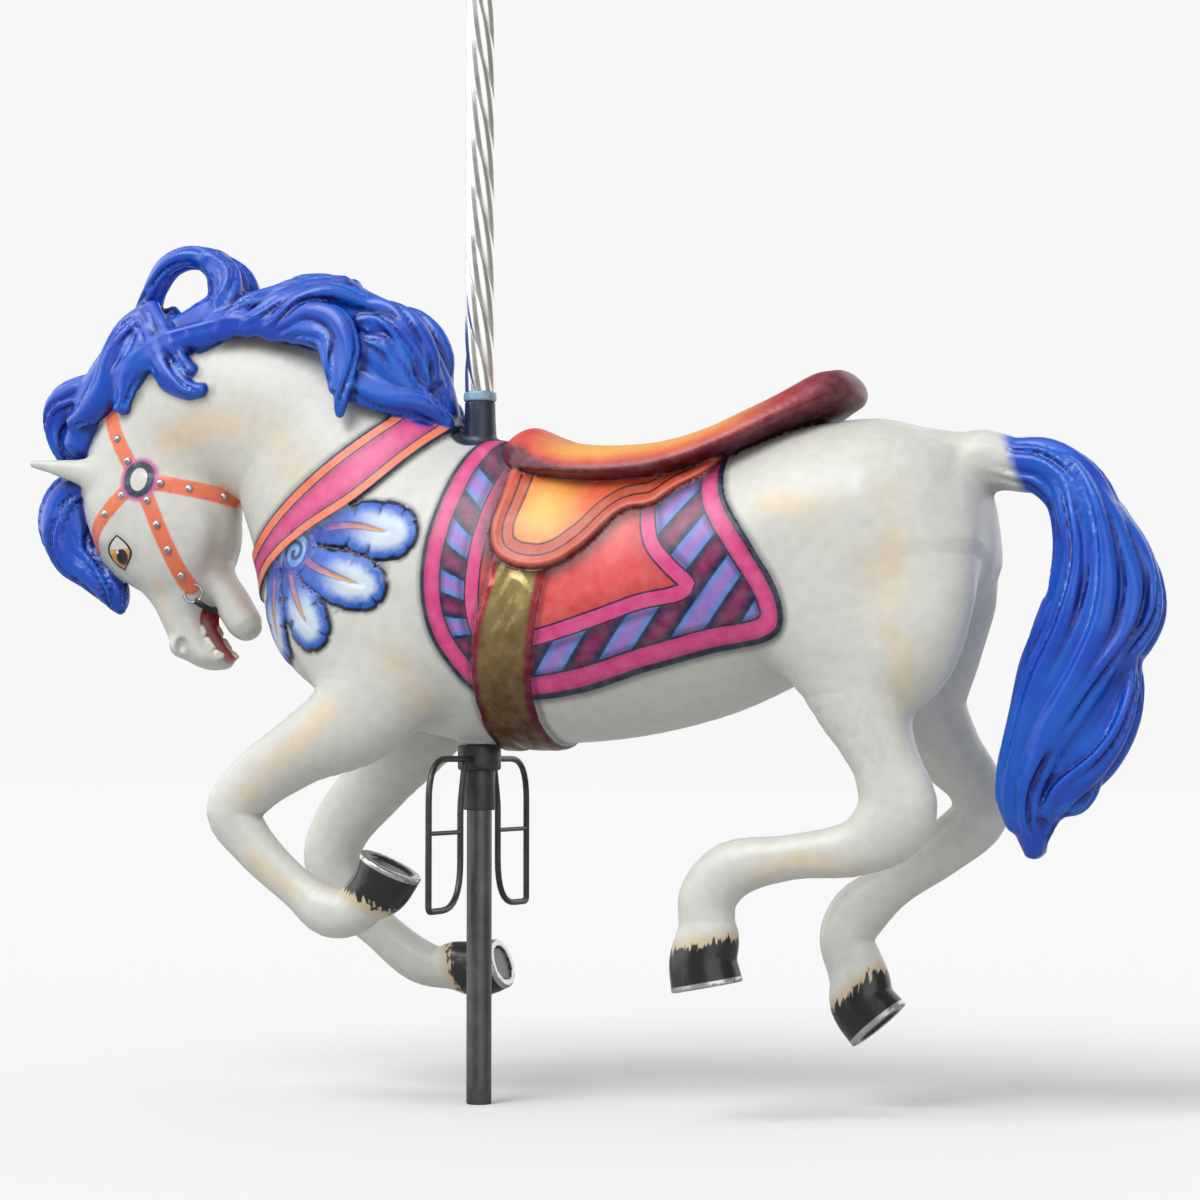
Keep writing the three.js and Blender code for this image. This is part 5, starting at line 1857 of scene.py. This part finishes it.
class CAROUSEL_OT_bridle(bpy.types.Operator):
    """Set the studs along the bridle and hang the bit rings"""

    bl_idname = "carousel.bridle"
    bl_label = "Bridle Fittings"

    def execute(self, context):
        size = context.scene.carousel_sizes
        steel = plain_metal("fitting_steel", colour(205, 205, 208), colour(150, 150, 156), 0.22, 120.0)
        spots, faces_out = [], []
        counts = (2, 2, 4, 3)
        for line, count in zip(STRAPS, counts):
            run = spline(np.array(line, float) * MM, 12)
            if line is STRAPS[0]:
                run = run[::-1]
            gone = np.concatenate([[0], np.cumsum(np.linalg.norm(np.diff(run, axis=0), axis=1))])
            for k in range(count):
                want = 0.033 + size.stud_gap * k
                x, z = (float(np.interp(want, gone, run[:, axis])) for axis in (0, 1))
                for sign in (-1, 1):
                    p, n = skin_point(x, z, sign)
                    spots.append(p + n * 0.6 * MM)
                    faces_out.append(n)
        studs = mesh_object("bridle_studs", spots, [])
        vector_attribute(studs.data, "facing", *np.array(faces_out).T)
        grown(studs, stud_nodes(), **{"Stud Radius": size.stud_radius, "Dome Height": 0.7, "Material": steel})
        settle(studs, None)
        round_wire = [math.pi / 6 * k for k in range(12)]
        wire = [(size.ring_radius + 2 * MM * math.cos(a), 2 * MM * math.sin(a)) for a in round_wire]
        hoops, cheeks = [], []
        for sign in (-1, 1):
            p, n = skin_point(BIT_RING[0] * MM, BIT_RING[1] * MM, sign)
            v, f = lathe(wire, 40)
            turn = Vector((n[0] * 0.5, n[1], 0)).to_track_quat("Z", "Y").to_matrix()
            centre = Vector(p) + Vector(n) * 2.2 * MM
            hoops.append(([tuple(turn @ Vector(point) + centre) for point in v], f))
            inner = Vector((-384 * MM, sign * 34 * MM, 660 * MM))
            start = centre + Vector((3 * MM, 0, -10 * MM))
            run = [start, start.lerp(inner, 0.5), inner, (-380 * MM, sign * 18 * MM, 662 * MM)]
            cheeks.append(sweep(run, 4.2 * MM))
        rings = mesh_object("bit_rings", *gathered(hoops))
        assign(rings, steel)
        settle(rings, None)
        bar = mesh_object("bit_cheeks", *gathered(cheeks))
        assign(bar, plain_metal("bit_black", colour(46, 46, 48), colour(28, 28, 30), 0.4, 90.0, 0.3))
        settle(bar, None)
        return {"FINISHED"}


class CAROUSEL_OT_stage(bpy.types.Operator):
    """Lay the floor and set the lights and camera"""

    bl_idname = "carousel.stage"
    bl_label = "Stage"

    def execute(self, context):
        scene = context.scene
        corners = [(-40, -40, 0), (40, -40, 0), (40, 40, 0), (-40, 40, 0)]
        floor = mesh_object("floor", corners, [(0, 1, 2, 3)], False)
        made, t, shader = material("floor_paint", 0.95)
        shader.inputs["Specular IOR Level"].default_value = 0.0
        place = t.out("ShaderNodeTexCoord", "Object")
        pale = t.mix(t.noise(place, 3.0) * 0.02, (0.92, 0.92, 0.92, 1), (0.85, 0.85, 0.85, 1))
        straight = t.out("ShaderNodeLightPath", "Is Camera Ray")
        t.put(shader.inputs["Base Color"], t.mix(straight, (0.50, 0.50, 0.50, 1), pale))
        assign(floor, made)
        world = bpy.data.worlds.new("Studio")
        world.use_nodes = True
        world.node_tree.nodes.clear()
        t = Tree(world.node_tree)
        out = t.add("ShaderNodeOutputWorld")
        way = t.out("ShaderNodeTexCoord", "Generated")
        path = t.add("ShaderNodeLightPath")
        boxes = 0.0
        for aim, edge, soft, power in SOFTBOXES:
            facing = t.vector("DOT_PRODUCT", way, tuple(Vector(aim).normalized()))
            boxes = boxes + t.step(facing, edge, soft) * power
        glint = boxes + 0.30
        seen = t.add("ShaderNodeBackground", {"Color": (0.93, 0.93, 0.93, 1), "Strength": 1.0})
        lit = t.add("ShaderNodeBackground", {"Color": (1, 1, 1, 1), "Strength": 0.62})
        shine = t.add("ShaderNodeBackground", {"Color": (1, 1, 1, 1), "Strength": glint})
        last = lit
        for kind, second in (("Is Glossy Ray", shine), ("Is Camera Ray", seen)):
            pick = t.add("ShaderNodeMixShader", {0: path.outputs[kind]})
            t.put(pick.inputs[1], last.outputs[0])
            t.put(pick.inputs[2], second.outputs[0])
            last = pick
        t.put(out.inputs[0], last.outputs[0])
        scene.world = world
        light = bpy.data.lights.new("key", "SUN")
        light.energy, light.angle = 1.72, math.radians(38)
        lamp = bpy.data.objects.new("key", light)
        lamp.rotation_euler = Vector(SUN_AIM).to_track_quat("-Z", "Y").to_euler()
        scene.collection.objects.link(lamp)
        scene.view_settings.view_transform = "Standard"
        camera = bpy.data.cameras.new("camera")
        camera.lens, camera.sensor_width = LENS, SENSOR
        eye = bpy.data.objects.new("camera", camera)
        turn, tip = CAMERA_TURN, CAMERA_TIP
        eye.location = CAMERA_PLACE
        ahead = Vector((-math.sin(turn) * math.cos(tip), math.cos(turn) * math.cos(tip), math.sin(tip)))
        eye.rotation_euler = ahead.to_track_quat("-Z", "Y").to_euler()
        scene.collection.objects.link(eye)
        scene.camera = eye
        return {"FINISHED"}


OPERATORS = (
    CAROUSEL_OT_stage, CAROUSEL_OT_pole, CAROUSEL_OT_sleeve, CAROUSEL_OT_footrest, CAROUSEL_OT_horse,
    CAROUSEL_OT_bridle,
)


class CAROUSEL_PT_panel(bpy.types.Panel):
    bl_label = "Carousel Horse"
    bl_idname = "CAROUSEL_PT_panel"
    bl_space_type = "VIEW_3D"
    bl_region_type = "UI"
    bl_category = "Carousel Horse"

    def draw(self, context):
        for operator in OPERATORS:
            self.layout.operator(operator.bl_idname)
        for group_name in ("carousel_paint", "carousel_sizes"):
            settings = getattr(context.scene, group_name)
            for name in settings.__annotations__:
                self.layout.prop(settings, name)


CLASSES = (CarouselPaint, CarouselSizes, *OPERATORS, CAROUSEL_PT_panel)


def register():
    for made in CLASSES:
        bpy.utils.register_class(made)
    bpy.types.Scene.carousel_paint = bpy.props.PointerProperty(type=CarouselPaint)
    bpy.types.Scene.carousel_sizes = bpy.props.PointerProperty(type=CarouselSizes)


def unregister():
    del bpy.types.Scene.carousel_paint
    del bpy.types.Scene.carousel_sizes
    for made in reversed(CLASSES):
        bpy.utils.unregister_class(made)


def main():
    register()
    for operator in OPERATORS:
        family, name = operator.bl_idname.split(".")
        getattr(getattr(bpy.ops, family), name)()


if __name__ == "__main__":
    main()
